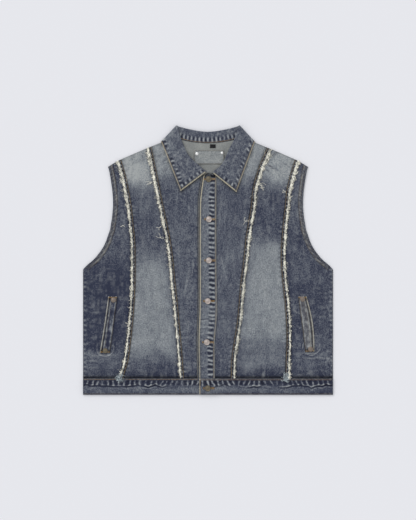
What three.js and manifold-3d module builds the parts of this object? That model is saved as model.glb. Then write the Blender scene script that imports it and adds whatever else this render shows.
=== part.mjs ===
// A sleeveless denim vest with a pointed collar, buttoned and laid flat on its back.
// Millimetres. +X is the right of the laid vest seen from above, +Y runs to its collar, +Z is up.
import * as THREE from 'three';
import { mergeVertices } from 'three/addons/utils/BufferGeometryUtils.js';
import Module from 'manifold-3d';

const { lerp, smoothstep, degToRad } = THREE.MathUtils;

// Cloth, and the clearances between pieces
const CLOTH = 1.2;
const FOLDED_CLOTH = 2.0;
const COLLAR_CLOTH = 1.3;
const SEAM_GAP = 0.3;
const LAY_GAP = 0.45;

// Body
const BODY_HALF = 310;
const HEM_Y = -334.2;
const BAND_TOP_Y = -294;
const UNDERARM_Y = -23.4;
const BACK_NECK_Y = 289.5;
const NECK_SEAM_TURN = 2.8;
// The centre panels' top edge: its clearances, and how much of it is neckline
const NECKLINE = { clear: 1, beyondNeck: 2, drop: 4, share: 0.72, columns: 9 };
const ARMHOLE_HEM = 12;
const ARMHOLE_HEM_RISE = 0.9;

// How far the fronts stand off the back, and over what distance from their edges they do so
const BODY_RISE = 1.6;
const SIDE_RAMP = 40;
const SHOULDER_RAMP = 70;
const PLACKET_DROP = { x: -26, width: 30, depth: 0.9 };
const PLACKET_RISE = { x: 21, width: 35, height: 0.5 };

// Half the width of the body at the armhole
const ARMHOLE = [
  { y: UNDERARM_Y, x: BODY_HALF },
  { y: -13, x: 300 },
  { y: 2, x: 282.7 },
  { y: 17, x: 270 },
  { y: 32, x: 260 },
  { y: 46.5, x: 253 },
  { y: 61, x: 248 },
  { y: 76, x: 243 },
  { y: 91, x: 240.6 },
  { y: 106, x: 238 },
  { y: 136, x: 235.6 },
  { y: 165.5, x: 236.8 },
  { y: 195, x: 240.6 },
  { y: 223, x: 245.5 },
  { y: 231, x: 248 },
];

// Shoulder seam, from under the collar to the tip of the shoulder
const SHOULDER = [
  { x: 40, y: 319 },
  { x: 84, y: 303.5 },
  { x: 116.6, y: 290.9 },
  { x: 149, y: 278 },
  { x: 186, y: 262.5 },
  { x: 224, y: 245.5 },
  { x: 248, y: 231 },
];
const NECK_SIDE = SHOULDER[1];
const SHOULDER_TIP = SHOULDER[6];

// Middle of the frayed edge of each seam down the fronts
const FRAYS = [
  { y: -310, outerLeft: -222, innerLeft: -68.6, innerRight: 65, outerRight: 202 },
  { y: -293, outerLeft: -219.5, innerLeft: -69, innerRight: 66, outerRight: 202 },
  { y: -250, outerLeft: -207.4, innerLeft: -71.6, innerRight: 66.8, outerRight: 202.2 },
  { y: -200, outerLeft: -200.2, innerLeft: -75.8, innerRight: 73.8, outerRight: 204.3 },
  { y: -150, outerLeft: -194.9, innerLeft: -80.4, innerRight: 81.3, outerRight: 203 },
  { y: -100, outerLeft: -191.1, innerLeft: -85.2, innerRight: 86.1, outerRight: 199 },
  { y: -50, outerLeft: -189, innerLeft: -90.6, innerRight: 90.6, outerRight: 193.5 },
  { y: 0, outerLeft: -188.9, innerLeft: -95.2, innerRight: 97, outerRight: 189.8 },
  { y: 50, outerLeft: -189.9, innerLeft: -102.3, innerRight: 102, outerRight: 191.7 },
  { y: 90, outerLeft: -194.2, innerLeft: -110.3, innerRight: 108.2, outerRight: 194.9 },
  { y: 130, outerLeft: -198.3, innerLeft: -119, innerRight: 115.2, outerRight: 199.5 },
  { y: 170, outerLeft: -205, innerLeft: -127.2, innerRight: 119.1, outerRight: 203.5 },
  { y: 210, outerLeft: -213.3, innerLeft: -135, innerRight: 128.7, outerRight: 212.5 },
  { y: 246, outerLeft: -224, innerLeft: -142.6, innerRight: 141.8, outerRight: 224 },
  { y: 280, outerLeft: -236, innerLeft: -150, innerRight: 157, outerRight: 238 },
];
const FLAP_WIDTH = 9;
const FLAP_CLOTH = 1.5;
const SHOULDER_LEAN = 0.5;
const FRAY_GAP = 1.3;
const FRAY_CORD = { width: 2.6, cloth: 1.5 };
const FRAY_LOCKS = { count: 40, share: 0.56, shortest: 3.2, spread: 3.6, slant: 4 };
const TUFT = { locks: 3, length: 11, drop: 13 };

// Left edge and right seam of the top placket
const PLACKET = [
  { y: -334.2, left: -21.6, right: 16.8 },
  { y: -293, left: -21.6, right: 16.8 },
  { y: -250, left: -22.6, right: 16.8 },
  { y: -205, left: -23.3, right: 17 },
  { y: -174, left: -22.6, right: 19.5 },
  { y: -137, left: -21, right: 22.2 },
  { y: -100, left: -20.4, right: 22.2 },
  { y: 0, left: -20.3, right: 20.9 },
  { y: 111, left: -20.2, right: 20.8 },
  { y: 148, left: -19.3, right: 20.8 },
  { y: 173, left: -16.5, right: 20.8 },
  { y: 193, left: -13.6, right: 20.8 },
  { y: 212, left: -10, right: 20.8 },
];
const PLACKET_TOP_Y = 211;
const PLACKET_EDGE_DROP = { left: 0.2, right: 0.3 };
const UNDER_STRIP = 4;
const UNDER_PLACKET = { bottom: 1.6, cloth: 1.8, shy: 6 };
const PLACKET_BOTTOM = UNDER_PLACKET.bottom + UNDER_PLACKET.cloth + SEAM_GAP + 0.05;
const PLACKET_PUCKERS = { count: 43, height: 0.65, lowest: -288, from: 0.56, to: 0.88 };

// Waistband: height of each part's underside over the floor
const BAND = {
  backCloth: 2.0,
  frontCloth: 2.2,
  frontBottom: 2.35,
  lapCloth: 1.8,
  overBottom: 4.5,
  lapFrom: -26,
  lapTo: 11,
  settle: 26,
};
const BAND_PUCKERS = { pitch: 13, height: 0.75 };

// Buttons from the collar down, and the eye and slit that each passes through
const BUTTONS = [
  { x: 1.2, y: 200.5 },
  { x: 2.2, y: 101 },
  { x: 2, y: -1 },
  { x: -0.5, y: -102 },
  { x: -3, y: -204 },
  { x: -0.7, y: -318 },
];
const BUTTON = { radius: 7.5, height: 2.6, neck: 2 };
const BUTTONHOLE = { length: 16, width: 1.3, eye: 2.6 };

// Pocket welts: the corners of each, the bow of its free edge, and its rivets
const WELTS = [
  {
    side: 'left',
    free: [{ x: -247.5, y: -90 }, { x: -269, y: -231 }],
    sewn: [{ x: -224.4, y: -90 }, { x: -243, y: -231 }],
    bow: -1,
    rivets: [{ at: 'upper', x: -234.6, y: -99 }, { at: 'lower', x: -254.7, y: -225 }],
  },
  {
    side: 'right',
    free: [{ x: 244.3, y: -90 }, { x: 263.9, y: -227 }],
    sewn: [{ x: 223.4, y: -90 }, { x: 241.3, y: -229 }],
    bow: 6,
    rivets: [{ at: 'upper', x: 234.6, y: -97 }, { at: 'lower', x: 254.2, y: -221 }],
  },
];
const WELT_CLOTH = 1.6;
const WELT_RUMPLE = 0.5;
const POCKET_BAG = { inner: 128, outer: 252, top: -84, bottom: -262, cloth: 1.1 };
const POCKET_RIVET = { radius: 6.4, height: 1.7 };

// Neck label, size tab and the label's rivets
const LABEL = { left: -36, right: 41, bottom: 237, top: 273, cloth: 0.6 };
const SIZE_TAB = { left: 5, right: 19, bottom: 277.6, top: 287, cloth: 0.6 };
const LABEL_RIVETS = [
  { side: 'left', x: -27.5, y: 263.5, radius: 4 },
  { side: 'right', x: 34.7, y: 265.7, radius: 3.35 },
];
const LABEL_RIVET_HEIGHT = 1.1;

// Collar: from each front end, the roll line, the neck seam and how far along its outer edge
const COLLAR_LEFT = [
  { share: 0, rollX: -4.5, rollY: 218.5, seamX: -6.5, seamY: 215.2 },
  { share: 0.1, rollX: -14.6, rollY: 225, seamX: -17, seamY: 220 },
  { share: 0.22, rollX: -24, rollY: 234, seamX: -30, seamY: 227 },
  { share: 0.36, rollX: -37, rollY: 245, seamX: -47, seamY: 235 },
  { share: 0.52, rollX: -51, rollY: 261, seamX: -66, seamY: 250 },
  { share: 0.66, rollX: -59, rollY: 277, seamX: -77, seamY: 265 },
  { share: 0.82, rollX: -67, rollY: 297, seamX: -84, seamY: 281 },
  { share: 0.94, rollX: -73, rollY: 317, seamX: -86, seamY: 295 },
  { share: 1, rollX: -76.1, rollY: 330, seamX: -83.7, seamY: 305.6 },
];
const COLLAR_RIGHT = [
  { share: 0, rollX: 12.4, rollY: 215.5, seamX: 13.5, seamY: 212.7 },
  { share: 0.1, rollX: 19.8, rollY: 222.5, seamX: 22, seamY: 217.5 },
  { share: 0.22, rollX: 28.5, rollY: 228.5, seamX: 33, seamY: 221 },
  { share: 0.36, rollX: 38, rollY: 239.5, seamX: 47, seamY: 231 },
  { share: 0.52, rollX: 46.5, rollY: 257, seamX: 62, seamY: 247 },
  { share: 0.66, rollX: 55, rollY: 276, seamX: 75, seamY: 264 },
  { share: 0.82, rollX: 66, rollY: 297, seamX: 83.5, seamY: 281 },
  { share: 0.94, rollX: 73, rollY: 317, seamX: 86, seamY: 295 },
  { share: 1, rollX: 76.1, rollY: 330, seamX: 83.7, seamY: 305.6 },
];
const COLLAR = {
  pointLeft: { x: -67.7, y: 171 },
  pointRight: { x: 70.4, y: 168.5 },
  cornerX: 115.2,
  cornerY: 290.9,
  rollX: 76.1,
  rollBackY: 315.9,
  rollRise: 14.1,
  seamX: 83.7,
  seamSideY: 305.6,
  fallBackY: 268.5,
  standFront: 6.6,
  standFrontEnd: 5.2,
  standBack: 5.1,
  foldHeight: 3.0,
  fallRest: 0.7,
  frontSteps: 20,
  cornerSteps: 4,
  backSteps: 24,
  pucker: 0.5,
};
// How far the collar's fall has come down at its last three places
const FALLEN_IN_FRONT = [0.55, 0.97, 1];
const FALLEN_BEHIND = [0.85, 0.98, 1];
const FALL_RISE = 1.9;
const BACK_RAMP = { start: 16, end: 2 };
const FRONT_RAMP = { start: 60, end: 16 };

// The largest soft folds of the fronts: place, direction in degrees from +X, and size
const FOLDS = [
  { name: 'left shoulder drag', x: -108, y: 246, turn: 60, length: 32, width: 15, height: 0.7 },
  { name: 'right shoulder drag', x: 160, y: 226, turn: 125, length: 38, width: 16, height: 0.8 },
  { name: 'left shoulder blade', x: -178, y: 196, turn: 70, length: 40, width: 18, height: 0.5 },
  { name: 'right shoulder blade', x: 176, y: 186, turn: 104, length: 40, width: 18, height: 0.5 },
  { name: 'left chest', x: -78, y: 122, turn: 74, length: 70, width: 17, height: 0.6 },
  { name: 'right chest', x: 76, y: 92, turn: 99, length: 70, width: 17, height: 0.6 },
  { name: 'left underarm', x: -258, y: -52, turn: 38, length: 46, width: 18, height: 0.9 },
  { name: 'right underarm', x: 258, y: -58, turn: 140, length: 46, width: 18, height: 0.9 },
  { name: 'left belly', x: -57, y: -66, turn: 86, length: 62, width: 15, height: 0.9 },
  { name: 'right belly', x: 44, y: -8, turn: 96, length: 56, width: 14, height: 0.8 },
  { name: 'left waist', x: -140, y: -116, turn: 84, length: 86, width: 24, height: 0.8 },
  { name: 'right waist', x: 140, y: -92, turn: 95, length: 90, width: 24, height: 0.8 },
  { name: 'left hip', x: -284, y: -176, turn: 82, length: 58, width: 15, height: 0.7 },
  { name: 'right hip', x: 284, y: -160, turn: 99, length: 58, width: 15, height: 0.7 },
  { name: 'left hem roll', x: -148, y: -262, turn: 2, length: 88, width: 15, height: 0.8 },
  { name: 'right hem roll', x: 142, y: -258, turn: 177, length: 84, width: 15, height: 0.8 },
  { name: 'left corner hem roll', x: -268, y: -262, turn: 8, length: 40, width: 14, height: 0.6 },
  { name: 'right corner hem roll', x: 262, y: -258, turn: 172, length: 42, width: 14, height: 0.6 },
];

// Finishes
const DENIM = { color: 0x5b6271, roughness: 0.92, metalness: 0 };
const DENIM_DARK = { color: 0x444a5c, roughness: 0.92, metalness: 0 };
const DENIM_LIGHT = { color: 0x7d838a, roughness: 0.92, metalness: 0 };
const DENIM_INSIDE = { color: 0x828585, roughness: 0.94, metalness: 0 };
const FRAY_COTTON = { color: 0xcfcab4, roughness: 0.95, metalness: 0 };
const BLACK_TAPE = { color: 0x1b1b1d, roughness: 0.85, metalness: 0 };
const AGED_METAL = { color: 0x9c9190, roughness: 0.45, metalness: 0.9 };
const SILVER_METAL = { color: 0xdedfe0, roughness: 0.25, metalness: 1 };

// A smooth function through a table's rows, held at its end values
function through(rows, from, to) {
  const slope = (k) => {
    const before = rows[Math.max(k - 1, 0)];
    const after = rows[Math.min(k + 1, rows.length - 1)];
    return (after[to] - before[to]) / (after[from] - before[from]);
  };
  return (value) => {
    const place = Math.min(Math.max(value, rows[0][from]), rows[rows.length - 1][from]);
    let k = 0;
    while (k < rows.length - 2 && place > rows[k + 1][from]) {
      k += 1;
    }
    const span = rows[k + 1][from] - rows[k][from];
    const s = (place - rows[k][from]) / span;
    const startWeight = 2 * s ** 3 - 3 * s ** 2 + 1;
    const startSlopeWeight = s ** 3 - 2 * s ** 2 + s;
    const endSlopeWeight = s ** 3 - s ** 2;
    return startWeight * rows[k][to] + (1 - startWeight) * rows[k + 1][to]
      + span * (startSlopeWeight * slope(k) + endSlopeWeight * slope(k + 1));
  };
}

const armholeX = through(ARMHOLE, 'y', 'x');
const shoulderY = through(SHOULDER, 'x', 'y');
const placketLeft = through(PLACKET, 'y', 'left');
const placketRight = through(PLACKET, 'y', 'right');

function bump(distance, width) {
  return Math.exp(-((distance / width) ** 2));
}

function halfWidth(y) {
  return y < UNDERARM_Y ? BODY_HALF : armholeX(y);
}

function backNeckY(x) {
  return lerp(BACK_NECK_Y, NECK_SIDE.y, (x / NECK_SIDE.x) ** 2);
}

// Outer edge of the collar's fall where it lies under the back
function fallEdgeY(x) {
  return lerp(COLLAR.fallBackY, COLLAR.cornerY, (x / COLLAR.cornerX) ** 2);
}

function foldLift(x, y) {
  return FOLDS.reduce((sum, fold) => {
    const turn = degToRad(fold.turn);
    const along = (x - fold.x) * Math.cos(turn) + (y - fold.y) * Math.sin(turn);
    const across = (y - fold.y) * Math.cos(turn) - (x - fold.x) * Math.sin(turn);
    return sum + fold.height * bump(along, fold.length) * bump(across, fold.width);
  }, 0);
}

// Rise over the collar's fall, which lies under the back; the fronts rise with it, more gently
function riseOverFall(x, y, ramp) {
  const edge = fallEdgeY(x);
  return FALL_RISE * smoothstep(y, edge - ramp.start, edge - ramp.end);
}

// Height of the back's underside, which lies on the floor elsewhere
function backLift(x, y) {
  return riseOverFall(x, y, BACK_RAMP);
}

// Height of the fronts' underside over the floor
function frontLift(x, y) {
  const fromSide = smoothstep(halfWidth(y) - Math.abs(x), 0, SIDE_RAMP);
  const fromShoulder = smoothstep(shoulderY(Math.abs(x)) - y, 0, SHOULDER_RAMP);
  const drop = PLACKET_DROP.depth * bump(x - PLACKET_DROP.x, PLACKET_DROP.width);
  const rise = PLACKET_RISE.height * bump(x - PLACKET_RISE.x, PLACKET_RISE.width);
  const atPlacket = x < (PLACKET_DROP.x + PLACKET_RISE.x) / 2 ? -drop : rise;
  const standOff = fromSide * fromShoulder * (BODY_RISE + foldLift(x, y) + atPlacket);
  return riseOverFall(x, y, FRONT_RAMP) + CLOTH + SEAM_GAP + standOff;
}

function frontTop(x, y) {
  return frontLift(x, y) + CLOTH;
}

// Signed volume, used to turn every body's faces outward
function signedVolume(points, faces) {
  const normal = new THREE.Vector3();
  return faces.reduce((sum, [a, b, c]) => {
    normal.crossVectors(points[b], points[c]);
    return sum + points[a].dot(normal) / 6;
  }, 0);
}

function bodyFrom(points, faces) {
  const flip = signedVolume(points, faces) < 0;
  const geometry = new THREE.BufferGeometry().setFromPoints(points);
  geometry.setIndex(faces.flatMap(([a, b, c]) => (flip ? [a, c, b] : [a, b, c])));
  geometry.computeVertexNormals();
  return geometry;
}

// A sheet of cloth from rows of { over, under } points
function sheet(rows) {
  const width = rows[0].length;
  const points = [];
  const faces = [];
  rows.forEach((row) => row.forEach((place) => points.push(place.over, place.under)));
  const over = (i, j) => 2 * (i * width + j);
  const under = (i, j) => over(i, j) + 1;
  const quad = (a, b, c, d) => faces.push([a, b, c], [a, c, d]);
  for (let i = 0; i < rows.length - 1; i += 1) {
    for (let j = 0; j < width - 1; j += 1) {
      quad(over(i, j), over(i, j + 1), over(i + 1, j + 1), over(i + 1, j));
      quad(under(i, j), under(i + 1, j), under(i + 1, j + 1), under(i, j + 1));
    }
    quad(over(i, 0), over(i + 1, 0), under(i + 1, 0), under(i, 0));
    quad(over(i, width - 1), under(i, width - 1), under(i + 1, width - 1), over(i + 1, width - 1));
  }
  const last = rows.length - 1;
  for (let j = 0; j < width - 1; j += 1) {
    quad(over(0, j), under(0, j), under(0, j + 1), over(0, j + 1));
    quad(over(last, j), over(last, j + 1), under(last, j + 1), under(last, j));
  }
  return bodyFrom(points, faces);
}

// Faces that close a ring; backward ones run against the ring's own order
function capFaces(ring, start, backward) {
  const alongY = Math.abs(ring[0].x - ring[1].x) < Math.abs(ring[0].y - ring[1].y);
  const outline = ring.map((point) => new THREE.Vector2(alongY ? point.y : point.x, point.z));
  const clockwise = THREE.ShapeUtils.isClockWise(outline);
  return THREE.ShapeUtils.triangulateShape(outline, []).map(([a, b, c]) => {
    const alike = THREE.ShapeUtils.isClockWise([outline[a], outline[b], outline[c]]) === clockwise;
    return alike === backward ? [start + a, start + c, start + b] : [start + a, start + b, start + c];
  });
}

// A body through closed rings of points, its two ends closed flat
function loft(rings) {
  const size = rings[0].length;
  const faces = [];
  for (let i = 0; i < rings.length - 1; i += 1) {
    for (let j = 0; j < size; j += 1) {
      const a = i * size + j;
      const b = i * size + ((j + 1) % size);
      faces.push([a, b, b + size], [a, b + size, a + size]);
    }
  }
  const end = rings.length - 1;
  const caps = [...capFaces(rings[0], 0, true), ...capFaces(rings[end], end * size, false)];
  return bodyFrom(rings.flat(), [...faces, ...caps]);
}

// A cloth point of a given thickness standing on its underside
function upright(x, y, bottom, cloth) {
  return {
    over: new THREE.Vector3(x, y, bottom + cloth),
    under: new THREE.Vector3(x, y, bottom),
  };
}

// A patch between four boundary curves, each a function of its share of the way along
function patchOf(hem, top, inner, outer) {
  return (u, t) => {
    const point = hem(u).multiplyScalar(1 - t);
    point.addScaledVector(top(u), t);
    point.addScaledVector(inner(t), 1 - u);
    point.addScaledVector(outer(t), u);
    point.addScaledVector(hem(0), -(1 - u) * (1 - t));
    point.addScaledVector(hem(1), -u * (1 - t));
    point.addScaledVector(top(0), -(1 - u) * t);
    point.addScaledVector(top(1), -u * t);
    return point;
  };
}

function steps(count) {
  return Array.from({ length: count + 1 }, (_, k) => k / count);
}

function line(from, to) {
  return (share) => new THREE.Vector2(lerp(from.x, to.x, share), lerp(from.y, to.y, share));
}

// Seams of the fronts: the frayed edge's line, moved toward the placket by the width of its flap
const SEAMS = [
  { name: 'outer_left', column: 'outerLeft', inward: 1, tuft: true },
  { name: 'inner_left', column: 'innerLeft', inward: 1, tuft: false },
  { name: 'inner_right', column: 'innerRight', inward: -1, tuft: false },
  { name: 'outer_right', column: 'outerRight', inward: -1, tuft: true },
].map((seam) => ({ ...seam, frayX: through(FRAYS, 'y', seam.column) }));

function seamX(seam, y) {
  return seam.frayX(y) + seam.inward * FLAP_WIDTH;
}

// Where a line down the front, moved sideways, meets the shoulder seam
function shoulderMeet(lineX) {
  let y = SHOULDER_TIP.y;
  for (let turn = 0; turn < 12; turn += 1) {
    y = shoulderY(Math.abs(lineX(y)));
  }
  return y;
}

function seamCurve(seam, aside) {
  const lineX = (y) => seamX(seam, y) + aside;
  const topY = shoulderMeet(lineX);
  return (share) => {
    const y = lerp(BAND_TOP_Y + SEAM_GAP / 2, topY, share);
    return new THREE.Vector2(lineX(y), y);
  };
}

// Side seam up to the underarm on the first half, and the armhole on the second
function sideCurve(sign) {
  const armhole = new THREE.SplineCurve(ARMHOLE.map((row) => new THREE.Vector2(sign * row.x, row.y)));
  return (share) => {
    if (share > 0.5) {
      return armhole.getPointAt(2 * share - 1);
    }
    return new THREE.Vector2(sign * BODY_HALF, lerp(BAND_TOP_Y + SEAM_GAP / 2, UNDERARM_Y, 2 * share));
  };
}

function shoulderCurve(fromX, toX) {
  return (share) => {
    const x = lerp(fromX, toX, share);
    return new THREE.Vector2(x, shoulderY(Math.abs(x)));
  };
}

const PANEL_ROWS = 18;

function sidePanel(seam, sign) {
  const inner = seamCurve(seam, sign * SEAM_GAP / 2);
  const outer = sideCurve(sign);
  const patch = patchOf(line(inner(0), outer(0)), shoulderCurve(inner(1).x, outer(1).x), inner, outer);
  const rows = steps(PANEL_ROWS).map((t) => {
    const hem = ARMHOLE_HEM / inner(t).distanceTo(outer(t));
    const columns = [0, (1 - hem) / 3, 2 * (1 - hem) / 3, 0.98 - hem, 1 - hem * 0.86, 1];
    return columns.map((u, k) => {
      const point = patch(u, t);
      const place = upright(point.x, point.y, frontLift(point.x, point.y), CLOTH);
      const onHem = k > 3 && t > 0.5;
      place.over.z += onHem ? ARMHOLE_HEM_RISE : 0;
      return place;
    });
  });
  return sheet(rows);
}

function plainPanel(patch, columns) {
  return sheet(steps(PANEL_ROWS).map((t) => steps(columns).map((u) => {
    const point = patch(u, t);
    return upright(point.x, point.y, frontLift(point.x, point.y), CLOTH);
  })));
}

function middlePanel(outerSeam, innerSeam, sign) {
  const outer = seamCurve(outerSeam, -sign * SEAM_GAP / 2);
  const inner = seamCurve(innerSeam, sign * SEAM_GAP / 2);
  const top = shoulderCurve(inner(1).x, outer(1).x);
  return plainPanel(patchOf(line(inner(0), outer(0)), top, inner, outer), 4);
}

// The front neckline, just outside the seam of the collar, from the placket to the shoulder
function necklinePoints(collarRows) {
  return collarRows.map((row) => {
    const away = new THREE.Vector2(row.seamX - row.rollX, row.seamY - row.rollY).normalize();
    return new THREE.Vector2(row.seamX, row.seamY).addScaledVector(away, NECK_SEAM_TURN);
  });
}

function centerPanel(seam, sign, placketEdge, collarRows) {
  const outer = seamCurve(seam, -sign * SEAM_GAP / 2);
  const innermost = sign * placketEdge(PLACKET_TOP_Y) + NECKLINE.clear;
  const neck = necklinePoints(collarRows).filter((point) => sign * point.x > innermost);
  const neckX = NECK_SIDE.x + NECKLINE.beyondNeck;
  neck[neck.length - 1].set(sign * neckX, shoulderY(neckX));
  const start = new THREE.Vector2(placketEdge(PLACKET_TOP_Y), neck[0].y - NECKLINE.drop);
  const neckCurve = new THREE.SplineCurve([start, ...neck]);
  const inner = (t) => {
    const y = lerp(BAND_TOP_Y + SEAM_GAP / 2, start.y, t);
    return new THREE.Vector2(placketEdge(y), y);
  };
  const shoulder = shoulderCurve(sign * neckX, outer(1).x);
  const top = (u) => (u < NECKLINE.share ? neckCurve.getPointAt(u / NECKLINE.share)
    : shoulder((u - NECKLINE.share) / (1 - NECKLINE.share)));
  return plainPanel(patchOf(line(inner(0), outer(0)), top, inner, outer), NECKLINE.columns);
}

// Back: columns run from the hem to the neck or shoulder, rows are closer at the armholes and neck
function backPanel() {
  const columns = [0, 28, 56, 84, 100, 116, 134, 164, 206, SHOULDER_TIP.x];
  const across = [...columns.slice(1).reverse().map((x) => -x), ...columns];
  const armholeYs = [2, 32, 61, 91, 136, 176, 198, 208, 216, 223];
  const rowYs = [BAND_TOP_Y + SEAM_GAP / 2, UNDERARM_Y, ...armholeYs, SHOULDER_TIP.y];
  const rows = rowYs.map((edgeY) => {
    const share = (edgeY - rowYs[0]) / (SHOULDER_TIP.y - rowYs[0]);
    return across.map((columnX) => {
      const side = Math.abs(columnX);
      const topY = side > NECK_SIDE.x ? shoulderY(side) : backNeckY(columnX);
      const y = lerp(rowYs[0], topY, share);
      const x = columnX * halfWidth(Math.min(y, SHOULDER_TIP.y)) / SHOULDER_TIP.x;
      return upright(x, y, backLift(x, y), CLOTH);
    });
  });
  return sheet(rows);
}

// A place beside a seam, at a distance toward the side; its rows lean over to follow the shoulder
function besideSeam(seam, t, away) {
  const point = seamCurve(seam, 0)(t);
  const lean = SHOULDER_LEAN * t ** 4 * away;
  return new THREE.Vector2(point.x - seam.inward * away, point.y - lean);
}

// A raw seam edge turned outward: it lies on the panel beside the seam, from seam to fray
function seamFlap(seam) {
  const reach = FLAP_WIDTH - FRAY_CORD.width - FRAY_GAP;
  return sheet(steps(PANEL_ROWS).map((t) => [0.4, reach / 2, reach].map((away) => {
    const { x, y } = besideSeam(seam, t, away);
    return upright(x, y, frontTop(x, y) + LAY_GAP, FLAP_CLOTH);
  })));
}

// A small repeatable scatter between 0 and 1
function scatter(seed) {
  const wave = Math.sin(seed * 12.9898 + 4.1) * 43758.5453;
  return wave - Math.floor(wave);
}

// A fray: a narrow cord of loose threads along the raw edge, with a lock at every other step
function fray(seam, seed) {
  const tail = seam.tuft ? TUFT.locks : 0;
  const cells = 2 * FRAY_LOCKS.count;
  const outward = -seam.inward;
  const cordFrom = FLAP_WIDTH - FRAY_CORD.width - SEAM_GAP;
  const points = [];
  const faces = [];
  for (let k = 0; k <= cells; k += 1) {
    const onLock = k % 2 === 1 ? FRAY_LOCKS.share : 0;
    const whole = Math.floor(k / 2);
    const share = (whole + (k === cells ? 0 : onLock)) / FRAY_LOCKS.count;
    const near = besideSeam(seam, share, cordFrom);
    const far = besideSeam(seam, share, cordFrom + FRAY_CORD.width);
    const z = frontTop(near.x, near.y) + LAY_GAP;
    const top = z + FRAY_CORD.cloth;
    points.push(new THREE.Vector3(near.x, near.y, z), new THREE.Vector3(far.x, far.y, z));
    points.push(new THREE.Vector3(far.x, far.y, top), new THREE.Vector3(near.x, near.y, top));
  }
  for (let k = 0; k < cells; k += 1) {
    const a = 4 * k;
    const b = a + 4;
    faces.push([a, a + 1, b + 1], [a, b + 1, b]);
    faces.push([a + 2, a + 3, b + 3], [a + 2, b + 3, b + 2]);
    faces.push([a + 3, a, b], [a + 3, b, b + 3]);
    if (k % 2 === 1) {
      faces.push([a + 1, a + 2, b + 2], [a + 1, b + 2, b + 1]);
    } else {
      const isTuft = k / 2 < tail;
      const length = isTuft ? TUFT.length : FRAY_LOCKS.shortest + FRAY_LOCKS.spread * scatter(seed + k);
      const slant = isTuft ? -TUFT.drop : FRAY_LOCKS.slant * (scatter(seed + k + 0.5) - 0.5);
      const root = points[a + 1].clone().add(points[b + 2]).multiplyScalar(0.5);
      const tip = new THREE.Vector3(root.x + outward * length * (isTuft ? 0.3 : 1), root.y + slant, 0);
      const rest = tip.y < BAND_TOP_Y + 1 ? bandTop(tip.x, tip.y) : frontTop(tip.x, tip.y);
      tip.z = rest + LAY_GAP + FRAY_CORD.cloth * (isTuft ? 0.9 : 0.4);
      const apex = points.push(tip) - 1;
      faces.push([a + 1, a + 2, apex], [a + 2, b + 2, apex], [b + 2, b + 1, apex], [b + 1, a + 1, apex]);
    }
  }
  const end = 4 * cells;
  faces.push([0, 3, 2], [0, 2, 1], [end, end + 1, end + 2], [end, end + 2, end + 3]);
  return bodyFrom(points, faces);
}

// Height of a front waistband's underside; the right one laps over the left at the placket
function bandBottom(sign, x) {
  const lapped = 1 - smoothstep(x, BAND.lapTo + 1.5, BAND.lapTo + BAND.settle);
  return sign < 0 ? BAND.frontBottom : lerp(BAND.frontBottom, BAND.overBottom, lapped);
}

// Share by which the left waistband is pressed flat under the right one
function pressed(sign, x) {
  return sign < 0 ? smoothstep(x, BAND.lapFrom - 6, BAND.lapFrom) : 0;
}

function bandPucker(x, y) {
  const below = smoothstep(y, HEM_Y + 10, BAND_TOP_Y - 14);
  const above = 1 - smoothstep(y, BAND_TOP_Y - 8, BAND_TOP_Y - 3);
  const wave = 0.5 + 0.5 * Math.cos((2 * Math.PI * x) / BAND_PUCKERS.pitch);
  return BAND_PUCKERS.height * below * above * wave;
}

function bandTop(x, y, sign = Math.sign(x)) {
  const flat = pressed(sign, x);
  const cloth = lerp(BAND.frontCloth, BAND.lapCloth, flat);
  return bandBottom(sign, x) + cloth + bandPucker(x, y) * (1 - flat);
}

// A front waistband: sections along X at each crest and dip of its puckers
function frontBand(sign) {
  const from = sign < 0 ? -BODY_HALF : placketLeft(HEM_Y);
  const to = sign < 0 ? BAND.lapTo : BODY_HALF;
  const crest = BAND_PUCKERS.pitch / 2;
  const stations = [from];
  for (let k = Math.ceil((from + 1) / crest); k * crest < to - 1; k += 1) {
    stations.push(k * crest);
  }
  stations.push(to);
  const topY = BAND_TOP_Y - SEAM_GAP / 2;
  const overYs = [topY, BAND_TOP_Y - 4, BAND_TOP_Y - 11, BAND_TOP_Y - 18, HEM_Y];
  return loft(stations.map((x) => {
    const bottom = bandBottom(sign, x);
    const under = [HEM_Y, topY].map((y) => new THREE.Vector3(x, y, bottom));
    return [...under, ...overYs.map((y) => new THREE.Vector3(x, y, bandTop(x, y, sign)))];
  }));
}

function backBand() {
  const rows = [HEM_Y, BAND_TOP_Y - SEAM_GAP / 2].map((y) => (
    [-BODY_HALF, BODY_HALF].map((x) => upright(x, y, 0, BAND.backCloth))));
  return sheet(rows);
}

// The top placket: sections along Y at each crest and dip of the puckers beside its stitching
function topPlacket() {
  const start = BAND_TOP_Y + SEAM_GAP / 2;
  const puckerYs = steps(2 * PLACKET_PUCKERS.count)
    .map((t) => lerp(PLACKET_PUCKERS.lowest, PLACKET_TOP_Y, t));
  const crestShare = (PLACKET_PUCKERS.from + PLACKET_PUCKERS.to) / 2;
  return loft([start, ...puckerYs].map((y, k) => {
    const x = (share) => lerp(placketLeft(y), placketRight(y), share);
    const top = PLACKET_BOTTOM + FOLDED_CLOTH;
    const crest = k % 2 === 0 && k > 0 ? PLACKET_PUCKERS.height : 0;
    return [
      new THREE.Vector3(x(0), y, PLACKET_BOTTOM),
      new THREE.Vector3(x(1), y, PLACKET_BOTTOM),
      new THREE.Vector3(x(1), y, top - PLACKET_EDGE_DROP.right),
      new THREE.Vector3(x(PLACKET_PUCKERS.to), y, top),
      new THREE.Vector3(x(crestShare), y, top + crest),
      new THREE.Vector3(x(PLACKET_PUCKERS.from), y, top),
      new THREE.Vector3(x(0), y, top - PLACKET_EDGE_DROP.left),
    ];
  }));
}

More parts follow.
